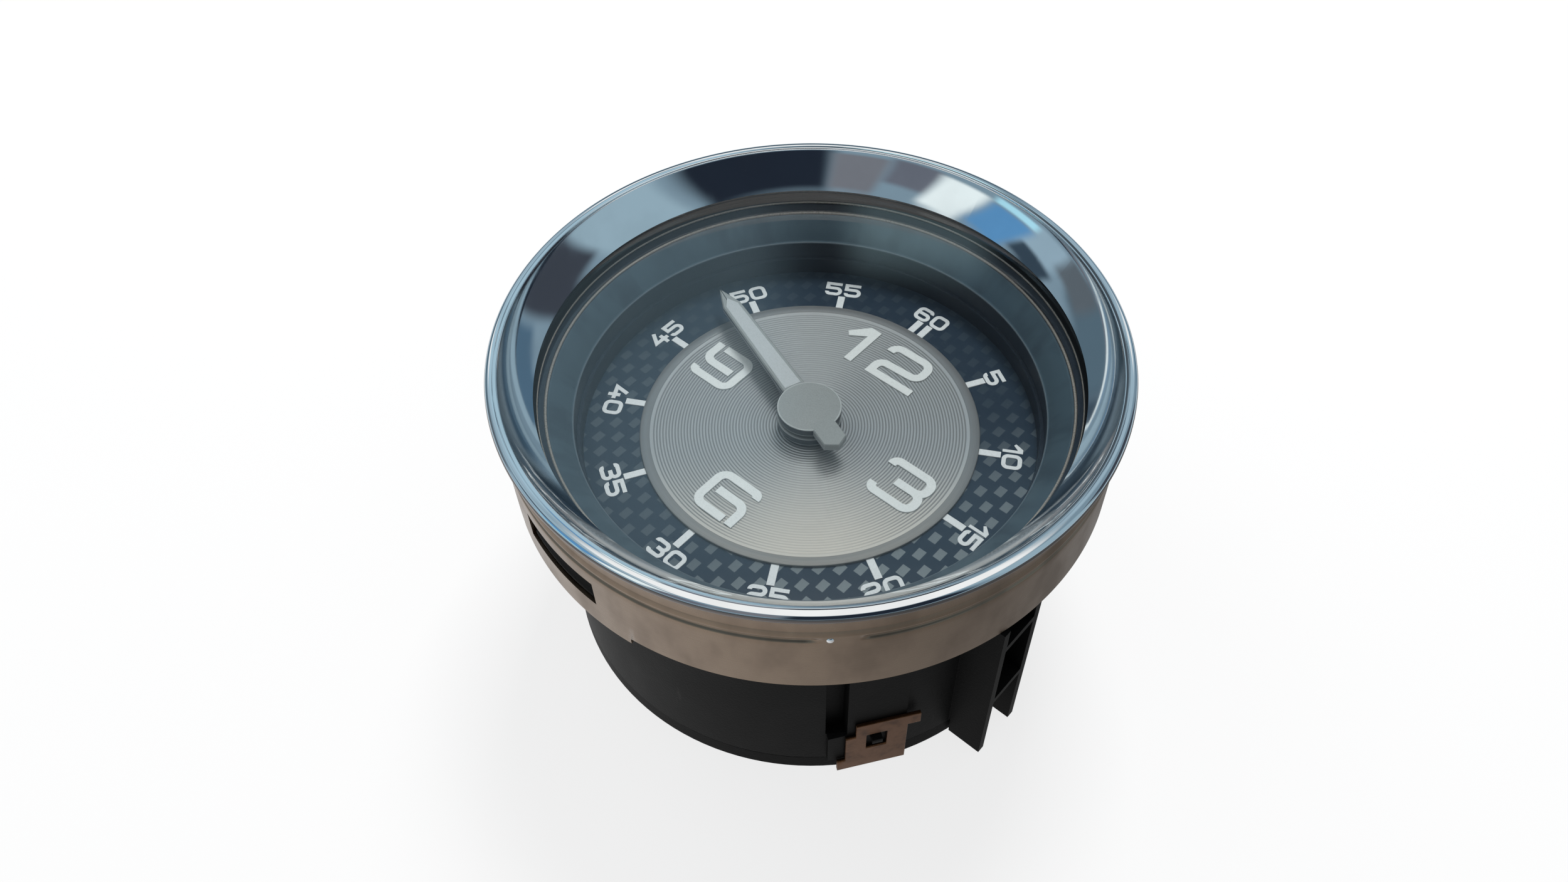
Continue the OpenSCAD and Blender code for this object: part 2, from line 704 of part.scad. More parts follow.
// Movement plates
module movement_front_plate() {
    neck_w = 1.6 * ear_r;
    color("khaki") difference() {
        union() {
            ring(plate_r, 0, front_z, plate_t);
            for (p = case_screws) peg(p, ear_r, front_z, plate_t);
            turned_to(lug_azs) translate([plate_r - ear_r, -neck_w / 2, front_z])
                cube([screw_circle_r - plate_r + ear_r, neck_w, plate_t]);
        }
        for (p = case_screws) hole(p, screw_hole_r, front_z, plate_t);
        hole([0, 0], bush_r + seat_gap, front_z, plate_t);
        hole(motion_at, post_r + seat_gap, front_z, plate_t);
        for (p = [intermediate_at, rotor_at]) hole(p, pivot_hole_r, front_z, plate_t);
        for (p = pillars) hole(p, pillar_r / 2 + seat_gap, front_z, plate_t);
    }
}

module movement_back_plate() {
    notch_x = pins[2][1] - 4 * fit_gap;
    notch_w = pin_w + 8 * fit_gap;
    color("khaki") difference() {
        union() {
            ring(plate_r, 0, back_z, plate_t);
            for (p = core_ends) peg(p, core_w / 2, back_top_z - over, core_z - back_top_z + over);
        }
        translate([notch_x, -socket_shift - notch_w / 2, back_z - over])
            cube([plate_r, notch_w, plate_t + 2 * over]);
        for (p = [[0, 0], intermediate_at, rotor_at]) hole(p, pivot_hole_r, back_z, plate_t);
        for (p = core_ends) peg(p, small_screw_r + seat_gap, back_top_z, core_z - back_top_z + over);
        for (p = pillars) hole(p, small_screw_r + run_gap, back_z, plate_t);
    }
}

module movement_pillars() {
    color("goldenrod") for (p = pillars) difference() {
        union() {
            peg(p, pillar_r, back_top_z, plate_gap);
            peg(p, pillar_r / 2, back_top_z, plate_gap + plate_t);
        }
        peg(p, small_screw_r + seat_gap, back_top_z - over, plate_gap / 2 + over);
    }
}

module pillar_screws() {
    bite = plate_gap / 3;
    color("silver") for (p = pillars)
        screw(p, back_z, small_screw_r, plate_t + bite, small_head_r, small_head_h);
}

module centre_bush() {
    color("gold") ring(bush_r, arbor_r + run_gap, front_z, plate_t);
}

module motion_post() {
    color("silver") peg(motion_at, post_r, front_z, guide_top_z - fit_gap - front_z);
}

// Motor
module stator() {
    hole_r = magnet_r + magnet_air;
    eye_r = hole_r + 0.7 * iron_w;
    arms = [
        [rotor_at, [core_ends[0][0], yoke_y], core_ends[0]],
        [rotor_at, [coil_x - 0.15 * bobbin_len, yoke_y], [core_ends[1][0], yoke_y], core_ends[1]],
    ];
    color("slategray") difference() {
        union() {
            peg(rotor_at, eye_r, stator_z, iron_t);
            for (arm = arms, i = [1:len(arm) - 1]) {
                translate([0, 0, stator_z]) linear_extrude(iron_t)
                    polygon(strip(arm[i - 1], arm[i], iron_w));
                peg(arm[i], iron_w / 2, stator_z, iron_t);
            }
        }
        hole(rotor_at, hole_r, stator_z, iron_t);
        for (p = core_ends) hole(p, small_screw_r + run_gap, stator_z, iron_t);
    }
}

module stator_screws() {
    bite = 0.8 * (core_z - back_top_z);
    color("silver") for (p = core_ends)
        screw_down(p, stator_z + iron_t, small_screw_r, 2 * iron_t + bite, small_head_r, small_head_h);
}

module coil_core() {
    long = core_ends[1][0] - core_ends[0][0] + core_w;
    color("slategray") difference() {
        translate([core_ends[0][0] - core_w / 2, coil_y - core_w / 2, core_z]) cube([long, core_w, iron_t]);
        for (p = core_ends) hole(p, small_screw_r + run_gap, core_z, iron_t);
    }
}

module coil_bobbin() {
    slot = [bobbin_len + 2 * over, core_w + 2 * run_gap, iron_t + 2 * run_gap];
    color("ivory") translate([coil_x, coil_y, coil_z]) difference() {
        rotate([0, 90, 0]) translate([0, 0, -bobbin_len / 2]) union() {
            cylinder(r = spool_r, h = bobbin_len);
            for (z = [0, bobbin_len - spool_flange_t]) peg([0, 0], bobbin_r, z, spool_flange_t);
        }
        cube(slot, center = true);
    }
}

module coil_winding() {
    long = bobbin_len - 2 * spool_flange_t;
    color("chocolate") translate([coil_x - long / 2, coil_y, coil_z]) rotate([0, 90, 0])
        ring(bobbin_r - fit_gap, spool_r + seat_gap, 0, long);
}

// Circuit board and what is on it
module circuit_board() {
    color("darkgreen") difference() {
        ring(inside_r, 0, board_z, board_t);
        for (p = case_screws) hole(p, screw_hole_r, board_z, board_t);
        for (p = pins) translate([p[1] - run_gap, -socket_shift - pin_w / 2 - run_gap, board_z - over])
            cube([pin_t + 2 * run_gap, pin_w + 2 * run_gap, board_t + 2 * over]);
    }
}

module driver_chip() {
    chip_at = [-0.17 * inside_r, 0.34 * inside_r];
    body = [5, 4, 1.2];
    lead = [0.4, 0.8, 0.25];
    lead_pitch = 1.2;
    stand = 0.1;
    color("#303030") translate([chip_at[0], chip_at[1], board_top_z]) union() {
        translate([-body[0] / 2, -body[1] / 2, stand]) cube(body);
        for (i = [-1.5:1.5], s = [-1, 1])
            translate([i * lead_pitch, s * body[1] / 2, lead[2] / 2])
                cube([lead[0], 2 * lead[1], lead[2]], center = true);
    }
}

module quartz_crystal() {
    can_at = [0.254 * inside_r, 0.381 * inside_r];
    can_r = 0.95;
    can_len = 6;
    color("silver") translate([can_at[0], can_at[1], board_top_z + can_r]) rotate([0, 90, 0])
        cylinder(r = can_r, h = can_len);
}

module filter_capacitor() {
    can_at = [0.381 * inside_r, -0.381 * inside_r];
    can_r = 2;
    can_h = 0.72 * stand_h;
    color("midnightblue") peg(can_at, can_r, board_z - can_h, can_h);
}

module dial_lamps() {
    lamp_w = 1.6;
    color("lightyellow") turned_to(lamp_azs) translate([lamp_r - lamp_w / 2, -lamp_w / 2, board_top_z])
        cube([lamp_w, lamp_w, lamp_h]);
}

module connector_pins() {
    low = board_z - pin_tail;
    color("gold") for (p = pins) translate([p[1], -socket_shift - pin_w / 2, 0]) union() {
        translate([0, 0, p[0]]) cube([socket_x + pin_reach - p[1], pin_w, pin_t]);
        translate([0, 0, low]) cube([pin_t, pin_w, p[0] + pin_t - low]);
    }
}

// Minute group
module minute_arbor() {
    top = minute_hub_z + hub_t / 2;
    color("silver") rotate_extrude() polygon([
        [0, back_z], [pivot_r, back_z], [pivot_r, back_top_z + shake], [arbor_r, back_top_z + shake],
        [arbor_r, centre_wheel_z - shake], [collar_r, centre_wheel_z - shake], [collar_r, front_z - shake],
        [arbor_r, front_z - shake], [arbor_r, top], [0, top]
    ]);
}

module centre_wheel() {
    color("gold") difference() {
        gear([0, 0], centre_teeth, train_m, centre_wheel_z, wheel_t, intermediate_az);
        hole([0, 0], collar_r + seat_gap, centre_wheel_z, wheel_t);
    }
}

module cannon_pinion() {
    top = minute_hub_z + hub_t / 2;
    color("gold") difference() {
        union() {
            gear([0, 0], cannon_teeth, motion_m, cannon_z, cannon_t, motion_az);
            ring(cannon_r, 0, cannon_z, minute_hub_z - cannon_z);
            ring(cannon_top_r, 0, cannon_z, top - cannon_z);
        }
        hole([0, 0], cannon_bore_r, cannon_z, top - cannon_z);
    }
}

// Hand along +X with a hub, a slotted blade and a tail with a blunt point
module hand(len, hub_z, bore_r, bore_h) {
    blade_z = hub_z + blade_lift;
    tail_x = -hub_r - tail_len;
    tail_point = 0.3 * blade_w;
    difference() {
        union() {
            translate([0, 0, blade_z]) linear_extrude(blade_t) polygon([
                [tail_x, 0], [tail_x + tail_point, -blade_w / 2], [0, -blade_w / 2],
                [len - point_len, -blade_tip_w / 2], [len, 0], [len - point_len, blade_tip_w / 2],
                [0, blade_w / 2], [tail_x + tail_point, blade_w / 2]
            ]);
            rotate_extrude() polygon([
                [0, hub_z], [hub_r, hub_z], [hub_r, hub_z + hub_t - hub_crown],
                [hub_r - hub_crown, hub_z + hub_t], [0, hub_z + hub_t]
            ]);
        }
        peg([0, 0], bore_r, hub_z - over, bore_h + over);
        translate([inlay_start, -inlay_w / 2, blade_z + blade_t - inlay_d])
            cube([inlay_end(len) - inlay_start, inlay_w, inlay_d + over]);
    }
}

module hand_inlay(len, hub_z) {
    translate([inlay_start + seat_gap, seat_gap - inlay_w / 2, hub_z + blade_lift + blade_t - inlay_d])
        cube([inlay_end(len) - inlay_start - 2 * seat_gap, inlay_w - 2 * seat_gap, inlay_d + seat_gap]);
}

module minute_hand() {
    color("darkgray") rotate(minute_az)
        hand(minute_len, minute_hub_z, cannon_top_r + seat_gap, hub_t / 2 + seat_gap);
}

module minute_hand_inlay() {
    color("white") rotate(minute_az) hand_inlay(minute_len, minute_hub_z);
}

// Hour group
module hour_wheel() {
    pipe_h = hour_hub_z + hub_t - hour_wheel_z;
    color("gold") difference() {
        union() {
            gear([0, 0], hour_teeth, hour_m, hour_wheel_z, wheel_t, motion_az);
            ring(hour_pipe_r, 0, hour_wheel_z, pipe_h);
        }
        hole([0, 0], hour_bore_r, hour_wheel_z, pipe_h);
    }
}

module hour_hand() {
    color("darkgray") rotate(hour_az) hand(hour_len, hour_hub_z, hour_pipe_r + seat_gap, hub_t + over);
}

module hour_hand_inlay() {
    color("white") rotate(hour_az) hand_inlay(hour_len, hour_hub_z);
}

// Motion wheel with its pinion, on the post
module motion_wheel() {
    leaf_z = cannon_z + wheel_t;
    leaf_h = hour_wheel_z + wheel_t + shake / 2 - leaf_z;
    leaf_turn = mesh_turn(motion_az, motion_leaf_teeth);
    color("gold") difference() {
        union() {
            gear(motion_at, motion_teeth, motion_m, cannon_z, wheel_t, mesh_turn(motion_az, motion_teeth));
            gear(motion_at, motion_leaf_teeth, hour_m, leaf_z, leaf_h, leaf_turn);
        }
        hole(motion_at, post_r + run_gap, cannon_z, wheel_t + leaf_h);
    }
}

// Arbor with an eight-leaf pinion, between the plates
module leaf_arbor(p, pinion_z, line_az) {
    union() {
        translate([p[0], p[1], 0]) rotate_extrude() polygon([
            [0, back_z], [pivot_r, back_z], [pivot_r, back_top_z + shake], [leaf_arbor_r, back_top_z + shake],
            [leaf_arbor_r, front_z - shake], [pivot_r, front_z - shake], [pivot_r, front_top_z - shake],
            [0, front_top_z - shake]
        ]);
        gear(p, leaf_teeth, train_m, pinion_z, pinion_t, mesh_turn(line_az, leaf_teeth));
    }
}

module intermediate_arbor() {
    color("silver") leaf_arbor(intermediate_at, centre_pinion_z, intermediate_az);
}

module intermediate_wheel() {
    color("gold") difference() {
        gear(intermediate_at, intermediate_teeth, train_m, intermediate_wheel_z, wheel_t, rotor_az);
        hole(intermediate_at, leaf_arbor_r + seat_gap, intermediate_wheel_z, wheel_t);
    }
}

module rotor_pinion() {
    color("silver") leaf_arbor(rotor_at, rotor_pinion_z, rotor_az);
}

module rotor_magnet() {
    color("dimgray") difference() {
        peg(rotor_at, magnet_r, magnet_z, magnet_h);
        hole(rotor_at, leaf_arbor_r + seat_gap, magnet_z, magnet_h);
    }
}

bezel();
lens();
lens_gasket();
dial_surround();
dial_plate();
dial_disc();
hour_marks();
light_guide();
housing();
rear_cover();
rear_cover_screws();
retaining_clips();
movement_front_plate();
movement_back_plate();
movement_pillars();
pillar_screws();
movement_screws();
centre_bush();
motion_post();
stator();
stator_screws();
coil_core();
coil_bobbin();
coil_winding();
circuit_board();
driver_chip();
quartz_crystal();
filter_capacitor();
dial_lamps();
connector_pins();
minute_arbor();
centre_wheel();
cannon_pinion();
minute_hand();
minute_hand_inlay();
hour_wheel();
hour_hand();
hour_hand_inlay();
motion_wheel();
intermediate_arbor();
intermediate_wheel();
rotor_pinion();
rotor_magnet();
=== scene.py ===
"""Looks of a round plug-in dashboard clock that lies on its rear cover, face up.

Sizes are in millimetres of the part's frame, with twelve o'clock towards +Y. A mesh goes to metres
as it is made.
"""

from __future__ import annotations

import json
import logging
import math
from dataclasses import dataclass
from enum import Enum
from typing import Callable, Sequence, Union

import bmesh
import bpy
from mathutils import Matrix, Vector

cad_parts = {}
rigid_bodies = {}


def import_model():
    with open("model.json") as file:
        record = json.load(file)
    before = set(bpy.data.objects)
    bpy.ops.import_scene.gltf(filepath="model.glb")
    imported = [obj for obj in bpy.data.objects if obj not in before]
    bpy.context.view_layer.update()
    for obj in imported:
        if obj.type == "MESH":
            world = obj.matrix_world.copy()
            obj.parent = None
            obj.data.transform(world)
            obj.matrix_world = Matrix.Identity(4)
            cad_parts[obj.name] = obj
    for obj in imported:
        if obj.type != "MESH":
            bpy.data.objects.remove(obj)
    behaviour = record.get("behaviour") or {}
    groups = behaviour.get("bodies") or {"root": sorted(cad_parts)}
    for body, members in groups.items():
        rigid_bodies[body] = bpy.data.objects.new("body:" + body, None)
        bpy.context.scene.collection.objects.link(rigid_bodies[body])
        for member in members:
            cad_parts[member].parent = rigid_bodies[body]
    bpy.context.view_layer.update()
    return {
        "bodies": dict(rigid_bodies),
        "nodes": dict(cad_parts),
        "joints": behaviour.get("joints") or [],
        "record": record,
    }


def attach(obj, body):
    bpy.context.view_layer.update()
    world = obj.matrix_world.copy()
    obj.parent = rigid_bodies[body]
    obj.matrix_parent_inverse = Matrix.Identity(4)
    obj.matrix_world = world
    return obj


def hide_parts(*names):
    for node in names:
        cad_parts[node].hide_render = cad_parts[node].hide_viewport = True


LOG = logging.getLogger("clock")
MM = 0.001
# Angle in degrees above which an edge is sharp
CREASE = 32.0
# Height of the band at the foot of a hand's side, which takes a pale painted highlight
FOOT_H = 0.14
WHITE = (1.0, 1.0, 1.0)

Point2 = tuple[float, float]
Point3 = tuple[float, float, float]
Colour = tuple[float, float, float]
Value = Union["Wire", float, Sequence[float]]


def tone(red: float, green: float, blue: float) -> Colour:
    """Turns a display colour of 0 to 255 into the linear colour that a shader takes.

    Args:
        red: Display red.
        green: Display green.
        blue: Display blue.

    Returns:
        The linear colour.
    """
    shares = (channel / 255 for channel in (red, green, blue))
    return tuple(s / 12.92 if s <= 0.04045 else ((s + 0.055) / 1.055) ** 2.4 for s in shares)


def polar(radius: float, azimuth: float) -> Point2:
    """Gives the point at a radius and an azimuth in degrees."""
    return radius * math.cos(math.radians(azimuth)), radius * math.sin(math.radians(azimuth))


def width_angle(width: float, radius: float) -> float:
    """Gives the angle, in degrees, that a chord takes up on a radius."""
    return math.degrees(2 * math.asin(width / 2 / radius))


def swing(azimuth: float, start: float) -> float:
    """Gives the turn from one azimuth to another, between -180 and 180 degrees."""
    return (azimuth - start + 180) % 360 - 180


def spread(low: float, high: float, steps: int) -> list[float]:
    """Gives evenly spaced numbers from low to high, both included."""
    return [low + (high - low) * i / steps for i in range(steps + 1)]


def arc(centre: Point2, radius: float, start: float, end: float, steps: int = 8) -> list[Point2]:
    """Samples an arc.

    Args:
        centre: Centre of the arc.
        radius: Radius of the arc.
        start: First angle in degrees.
        end: Last angle in degrees.
        steps: Number of chords.

    Returns:
        The points from start to end.
    """
    offsets = (polar(radius, angle) for angle in spread(start, end, steps))
    return [(centre[0] + dx, centre[1] + dy) for dx, dy in offsets]


def rounded(corners: Sequence[Point2], radii: Sequence[float], steps: int = 7) -> list[Point2]:
    """Rounds the inner corners of an open line.

    Args:
        corners: The line's corners.
        radii: One radius for each corner; the first and last aren't used.
        steps: Chords on each rounded corner.

    Returns:
        The line's points.
    """
    line = [Vector(corners[0])]
    last = len(corners) - 2
    for i, (before, corner, after, wish) in enumerate(zip(corners, corners[1:], corners[2:], radii[1:]), 1):
        here = Vector(corner)
        back, on = Vector(before) - here, Vector(after) - here
        room = min(back.length * (0.95 if i == 1 else 0.5), on.length * (0.95 if i == last else 0.5))
        back.normalize()
        on.normalize()
        if wish <= 0:
            line.append(here)
            continue
        half = math.acos(max(-1.0, min(1.0, back.dot(on)))) / 2
        reach = min(room, wish / math.tan(half))
        radius = reach * math.tan(half)
        centre = here + (back + on).normalized() * radius / math.sin(half)
        first = here + back * reach - centre
        sweep = first.angle_signed(here + on * reach - centre)
        line += [centre + Matrix.Rotation(-sweep * k / steps, 2) @ first for k in range(steps + 1)]
    line.append(Vector(corners[-1]))
    apart = [p for i, p in enumerate(line) if i == 0 or (p - line[i - 1]).length > 1e-3]
    return [(p.x, p.y) for p in apart]


class Wire:
    """A shader socket that takes part in sums."""

    def __init__(self, paint: "Paint", socket: bpy.types.NodeSocket) -> None:
        """Keeps the node tree and the socket."""
        self.paint = paint
        self.socket = socket

    def math(self, operation: str, *others: Value) -> "Wire":
        """Adds a Math node.

        Args:
            operation: The node's operation.
            others: Its second and third inputs.

        Returns:
            The node's output.
        """
        values = {i: value for i, value in enumerate((self, *others))}
        return self.paint.node("ShaderNodeMath", {"operation": operation}, values)

    def __add__(self, other: Value) -> "Wire":
        """Adds."""
        return self.math("ADD", other)

    __radd__ = __add__

    def __sub__(self, other: Value) -> "Wire":
        """Takes other from this."""
        return self.math("SUBTRACT", other)

    def __rsub__(self, other: float) -> "Wire":
        """Takes this from other."""
        return self.math("MULTIPLY_ADD", -1.0, other)

    def __mul__(self, other: Value) -> "Wire":
        """Multiplies."""
        return self.math("MULTIPLY", other)

    __rmul__ = __mul__

    def __truediv__(self, other: Value) -> "Wire":
        """Divides by other."""
        return self.math("DIVIDE", other)

    def __abs__(self) -> "Wire":
        """Drops the sign."""
        return self.math("ABSOLUTE")

    def __lt__(self, other: Value) -> "Wire":
        """Gives 1 where this is below other, and 0 elsewhere."""
        return self.math("LESS_THAN", other)

    def __gt__(self, other: Value) -> "Wire":
        """Gives 1 where this is above other, and 0 elsewhere."""
        return self.math("GREATER_THAN", other)

    def nearest(self) -> "Wire":
        """Gives the nearest whole number."""
        return (self + 0.5).math("FLOOR")

    def ease(self, low: float, high: float, start: float = 0.0, end: float = 1.0) -> "Wire":
        """Maps low to start and high to end, with a soft and clamped course between.

        Args:
            low: Value that gives start.
            high: Value that gives end.
            start: Result at low.
            end: Result at high.

        Returns:
            The mapped value.
        """
        values = {"Value": self, "From Min": low, "From Max": high, "To Min": start, "To Max": end}
        return self.paint.node("ShaderNodeMapRange", {"interpolation_type": "SMOOTHSTEP"}, values)


class Paint:
    """A node tree that a finish, the floor or the sky is written into."""

    def __init__(self, owner: Union[bpy.types.Material, bpy.types.World]) -> None:
        """Empties the owner's node tree."""
        owner.use_nodes = True
        self.owner = owner
        self.tree = owner.node_tree
        self.tree.nodes.clear()

    def node(self, kind: str, settings: dict | None = None, sockets: dict | None = None,
             output: Union[int, str] = 0) -> Wire:
        """Adds a node.

        Args:
            kind: The node's type.
            settings: Its own settings, which are set first.
            sockets: Values or wires for its inputs, by name or number.
            output: Which of its outputs to give back.

        Returns:
            The output, as a wire.
        """
        node = self.tree.nodes.new(kind)
        for name, value in (settings or {}).items():
            setattr(node, name, value)
        for name, value in (sockets or {}).items():
            socket = node.inputs[name]
            if isinstance(value, Wire):
                self.tree.links.new(value.socket, socket)
            elif isinstance(value, (int, float)):
                socket.default_value = value
            else:
                socket.default_value = (*value, 1.0) if socket.type == "RGBA" else tuple(value)
        return Wire(self, node.outputs[output])

    def place(self) -> Wire:
        """Gives the point on the piece, in millimetres of the part's frame at rest."""
        spot = self.node("ShaderNodeTexCoord", output="Object")
        return self.node("ShaderNodeVectorMath", {"operation": "SCALE"}, {0: spot, "Scale": 1 / MM})

    def parts(self, vector: Wire) -> tuple[Wire, Wire, Wire]:
        """Splits a vector into its three numbers."""
        first = self.node("ShaderNodeSeparateXYZ", None, {0: vector})
        node = first.socket.node
        return first, Wire(self, node.outputs[1]), Wire(self, node.outputs[2])

    def radius(self, x: Wire, y: Wire) -> Wire:
        """Gives the distance from the part's axis."""
        return (x * x + y * y).math("SQRT")

    def vector(self, x: Value, y: Value, z: Value) -> Wire:
        """Joins three numbers into a vector."""
        return self.node("ShaderNodeCombineXYZ", None, {0: x, 1: y, 2: z})

    def noise(self, place: Wire, size: float, detail: float = 2.0, roughness: float = 0.5) -> Wire:
        """Adds cloudy noise.

        Args:
            place: Where to take it, in millimetres.
            size: Breadth of its patches, in millimetres.
            detail: Number of finer layers.
            roughness: Strength of the finer layers.

        Returns:
            The noise, around 0.5.
        """
        values = {"Vector": place, "Scale": 1 / size, "Detail": detail, "Roughness": roughness}
        return self.node("ShaderNodeTexNoise", None, values)

    def mix(self, share: Value, first: Value, second: Value) -> Wire:
        """Mixes two colours.

        Args:
            share: Share of the second.
            first: First colour.
            second: Second colour.

        Returns:
            The mixed colour.
        """
        values = {0: share, 6: first, 7: second}
        return self.node("ShaderNodeMix", {"data_type": "RGBA"}, values, 2)

    def bump(self, height: Wire, depth: float) -> Wire:
        """Turns a height of 0 to 1 into a surface normal.

        Args:
            height: The height.
            depth: Depth of the relief in millimetres.

        Returns:
            The normal.
        """
        values = {"Strength": 1.0, "Distance": depth * MM, "Height": height}
        return self.node("ShaderNodeBump", None, values)

    def ray(self, *kinds: str) -> Wire:
        """Gives 1 for rays of any of these kinds, named as the Light Path node does."""
        wires = [self.node("ShaderNodeLightPath", output=f"Is {kind} Ray") for kind in kinds]
        share = wires[0]
        for wire in wires[1:]:
            share = share.math("MAXIMUM", wire)
        return share

    def surface(self, shader: Wire) -> None:
        """Makes a shader the owner's surface."""
        kind = "World" if isinstance(self.owner, bpy.types.World) else "Material"
        sink = self.tree.nodes.new(f"ShaderNodeOutput{kind}")
        self.tree.links.new(shader.socket, sink.inputs["Surface"])

    def principled(self, **sockets: Value) -> Wire:
        """Adds the main shader.

        Args:
            sockets: Its inputs, with underscores for the spaces in their names.

        Returns:
            The shader.
        """
        named = {name.replace("_", " "): value for name, value in sockets.items()}
        return self.node("ShaderNodeBsdfPrincipled", None, named)


@dataclass(frozen=True)
class Finish:
    """A surface finish, which makes one material the first time that it is asked for."""

    name: str
    colour: Colour
    roughness: float = 0.5

    def shade(self, paint: Paint) -> Wire:
        """Writes the finish.

        Args:
            paint: The node tree to write into.

        Returns:
            The shader.
        """
        raise NotImplementedError

    def darker(self, share: float) -> Colour:
        """Gives the finish's colour at a share of its brightness."""
        return tuple(channel * share for channel in self.colour)

    def material(self) -> bpy.types.Material:
        """Gives the finish's material."""
        title = f"{self.name}_finish"
        found = bpy.data.materials.get(title)
        if found:
            return found
        made = bpy.data.materials.new(title)
        paint = Paint(made)
        paint.surface(self.shade(paint))
        return made


@dataclass(frozen=True)
class BrightPlate(Finish):
    """Polished bright plating with faint wipe marks and a soft waviness."""

    smear: float = 0.06

    def shade(self, paint: Paint) -> Wire:
        """Writes plating over a smooth moulding.

        Args:
            paint: The node tree to write into.

        Returns:
            The shader.
        """
        spot = paint.place()
        haze = paint.noise(spot, 5.0, 3.0)
        fine = paint.noise(spot, 0.5, 2.0)
        rough = self.roughness + self.smear * haze.ease(0.5, 0.75) + 0.01 * fine
        colour = paint.mix(haze.ease(0.35, 0.7), self.colour, self.darker(0.94))
        normal = paint.bump(paint.noise(spot, 7.0, 1.0), 0.015)
        return paint.principled(Base_Color=colour, Metallic=1.0, Roughness=rough, Normal=normal)


@dataclass(frozen=True)
class SatinMetal(Finish):
    """Metal with fine turned or drawn lines, small scratches and duller patches."""

    line: float = 0.12
    depth: float = 0.004
    patch: float = 0.1
    second: Colour = (0.2, 0.2, 0.2)
    metallic: float = 1.0

    def shade(self, paint: Paint) -> Wire:
        """Writes lines that run round the axis of the part.

        Args:
            paint: The node tree to write into.

        Returns:
            The shader.
        """
        x, y, z = paint.parts(paint.place())
        radius = paint.radius(x, y)
        around = y.math("ARCTAN2", x)
        lines = paint.noise(paint.vector(radius, z, 0.02 * around), self.line, 2.0)
        cloud = paint.noise(paint.vector(18 * around, 0.1 * radius, 0.35 * z), 2.6, 3.0, 0.55)
        colour = paint.mix(cloud.ease(0.4, 0.72), self.colour, self.second)
        rough = self.roughness + self.patch * cloud.ease(0.4, 0.7) + 0.1 * (lines - 0.5)
        return paint.principled(Base_Color=colour, Metallic=self.metallic, Roughness=rough,
                                Normal=paint.bump(lines, self.depth))


@dataclass(frozen=True)
class Moulded(Finish):
    """Moulded plastic or rubber with a fine spark-eroded grain and faint handling marks."""

    grain: float = 0.25
    depth: float = 0.02
    wear: Colour = (0.05, 0.05, 0.05)
    specular: float = 0.4

    def shade(self, paint: Paint) -> Wire:
        """Writes grain, broad tone changes and thin pale scuffs.

        Args:
            paint: The node tree to write into.

        Returns:
            The shader.
        """
        spot = paint.place()
        grain = paint.noise(spot, self.grain, 3.0, 0.6)
        cloud = paint.noise(spot, 6.0, 3.0)
        scuff = paint.noise(paint.node("ShaderNodeVectorMath", {"operation": "MULTIPLY"},
                                       {0: spot, 1: (1.0, 1.0, 0.15)}), 0.9, 4.0, 0.7)
        worn = scuff.ease(0.62, 0.78) * 0.5 + cloud.ease(0.5, 0.8) * 0.35
        rough = self.roughness + 0.12 * (cloud - 0.5) - 0.1 * worn
        return paint.principled(Base_Color=paint.mix(worn, self.colour, self.wear), Roughness=rough,
                                Specular_IOR_Level=self.specular, Normal=paint.bump(grain, self.depth))


@dataclass(frozen=True)
class PlainMetal(Finish):
    """Turned, rolled or drawn metal of the inner works, with a fine directionless scratch."""

    tarnish: Colour = (0.3, 0.3, 0.3)

    def shade(self, paint: Paint) -> Wire:
        """Writes cloudy tarnish over bare metal.

        Args:
            paint: The node tree to write into.

        Returns:
            The shader.
        """
        spot = paint.place()
        cloud = paint.noise(spot, 1.6, 4.0, 0.6)
        fine = paint.noise(spot, 0.12, 2.0)
        colour = paint.mix(cloud.ease(0.42, 0.75), self.colour, self.tarnish)
        rough = self.roughness + 0.18 * (cloud - 0.4) + 0.06 * fine
        return paint.principled(Base_Color=colour, Metallic=1.0, Roughness=rough,
                                Normal=paint.bump(fine, 0.004))


@dataclass(frozen=True)
class Clear(Finish):
    """Clear glass or plastic, which lets the lamps through to what lies under it."""

    ior: float = 1.45
    coat: float = 0.0

    def shade(self, paint: Paint) -> Wire:
        """Writes clear material that casts no dark shadow.

        Args:
            paint: The node tree to write into.

        Returns:
            The shader.
        """
        body = paint.principled(Base_Color=self.colour, Roughness=self.roughness, IOR=self.ior,
                                Transmission_Weight=1.0, Coat_Weight=self.coat, Coat_IOR=1.5,
                                Coat_Roughness=0.02)
        gap = paint.node("ShaderNodeBsdfTransparent", None, {"Color": self.colour})
        return paint.node("ShaderNodeMixShader", None, {0: paint.ray("Shadow", "Diffuse"), 1: body, 2: gap})


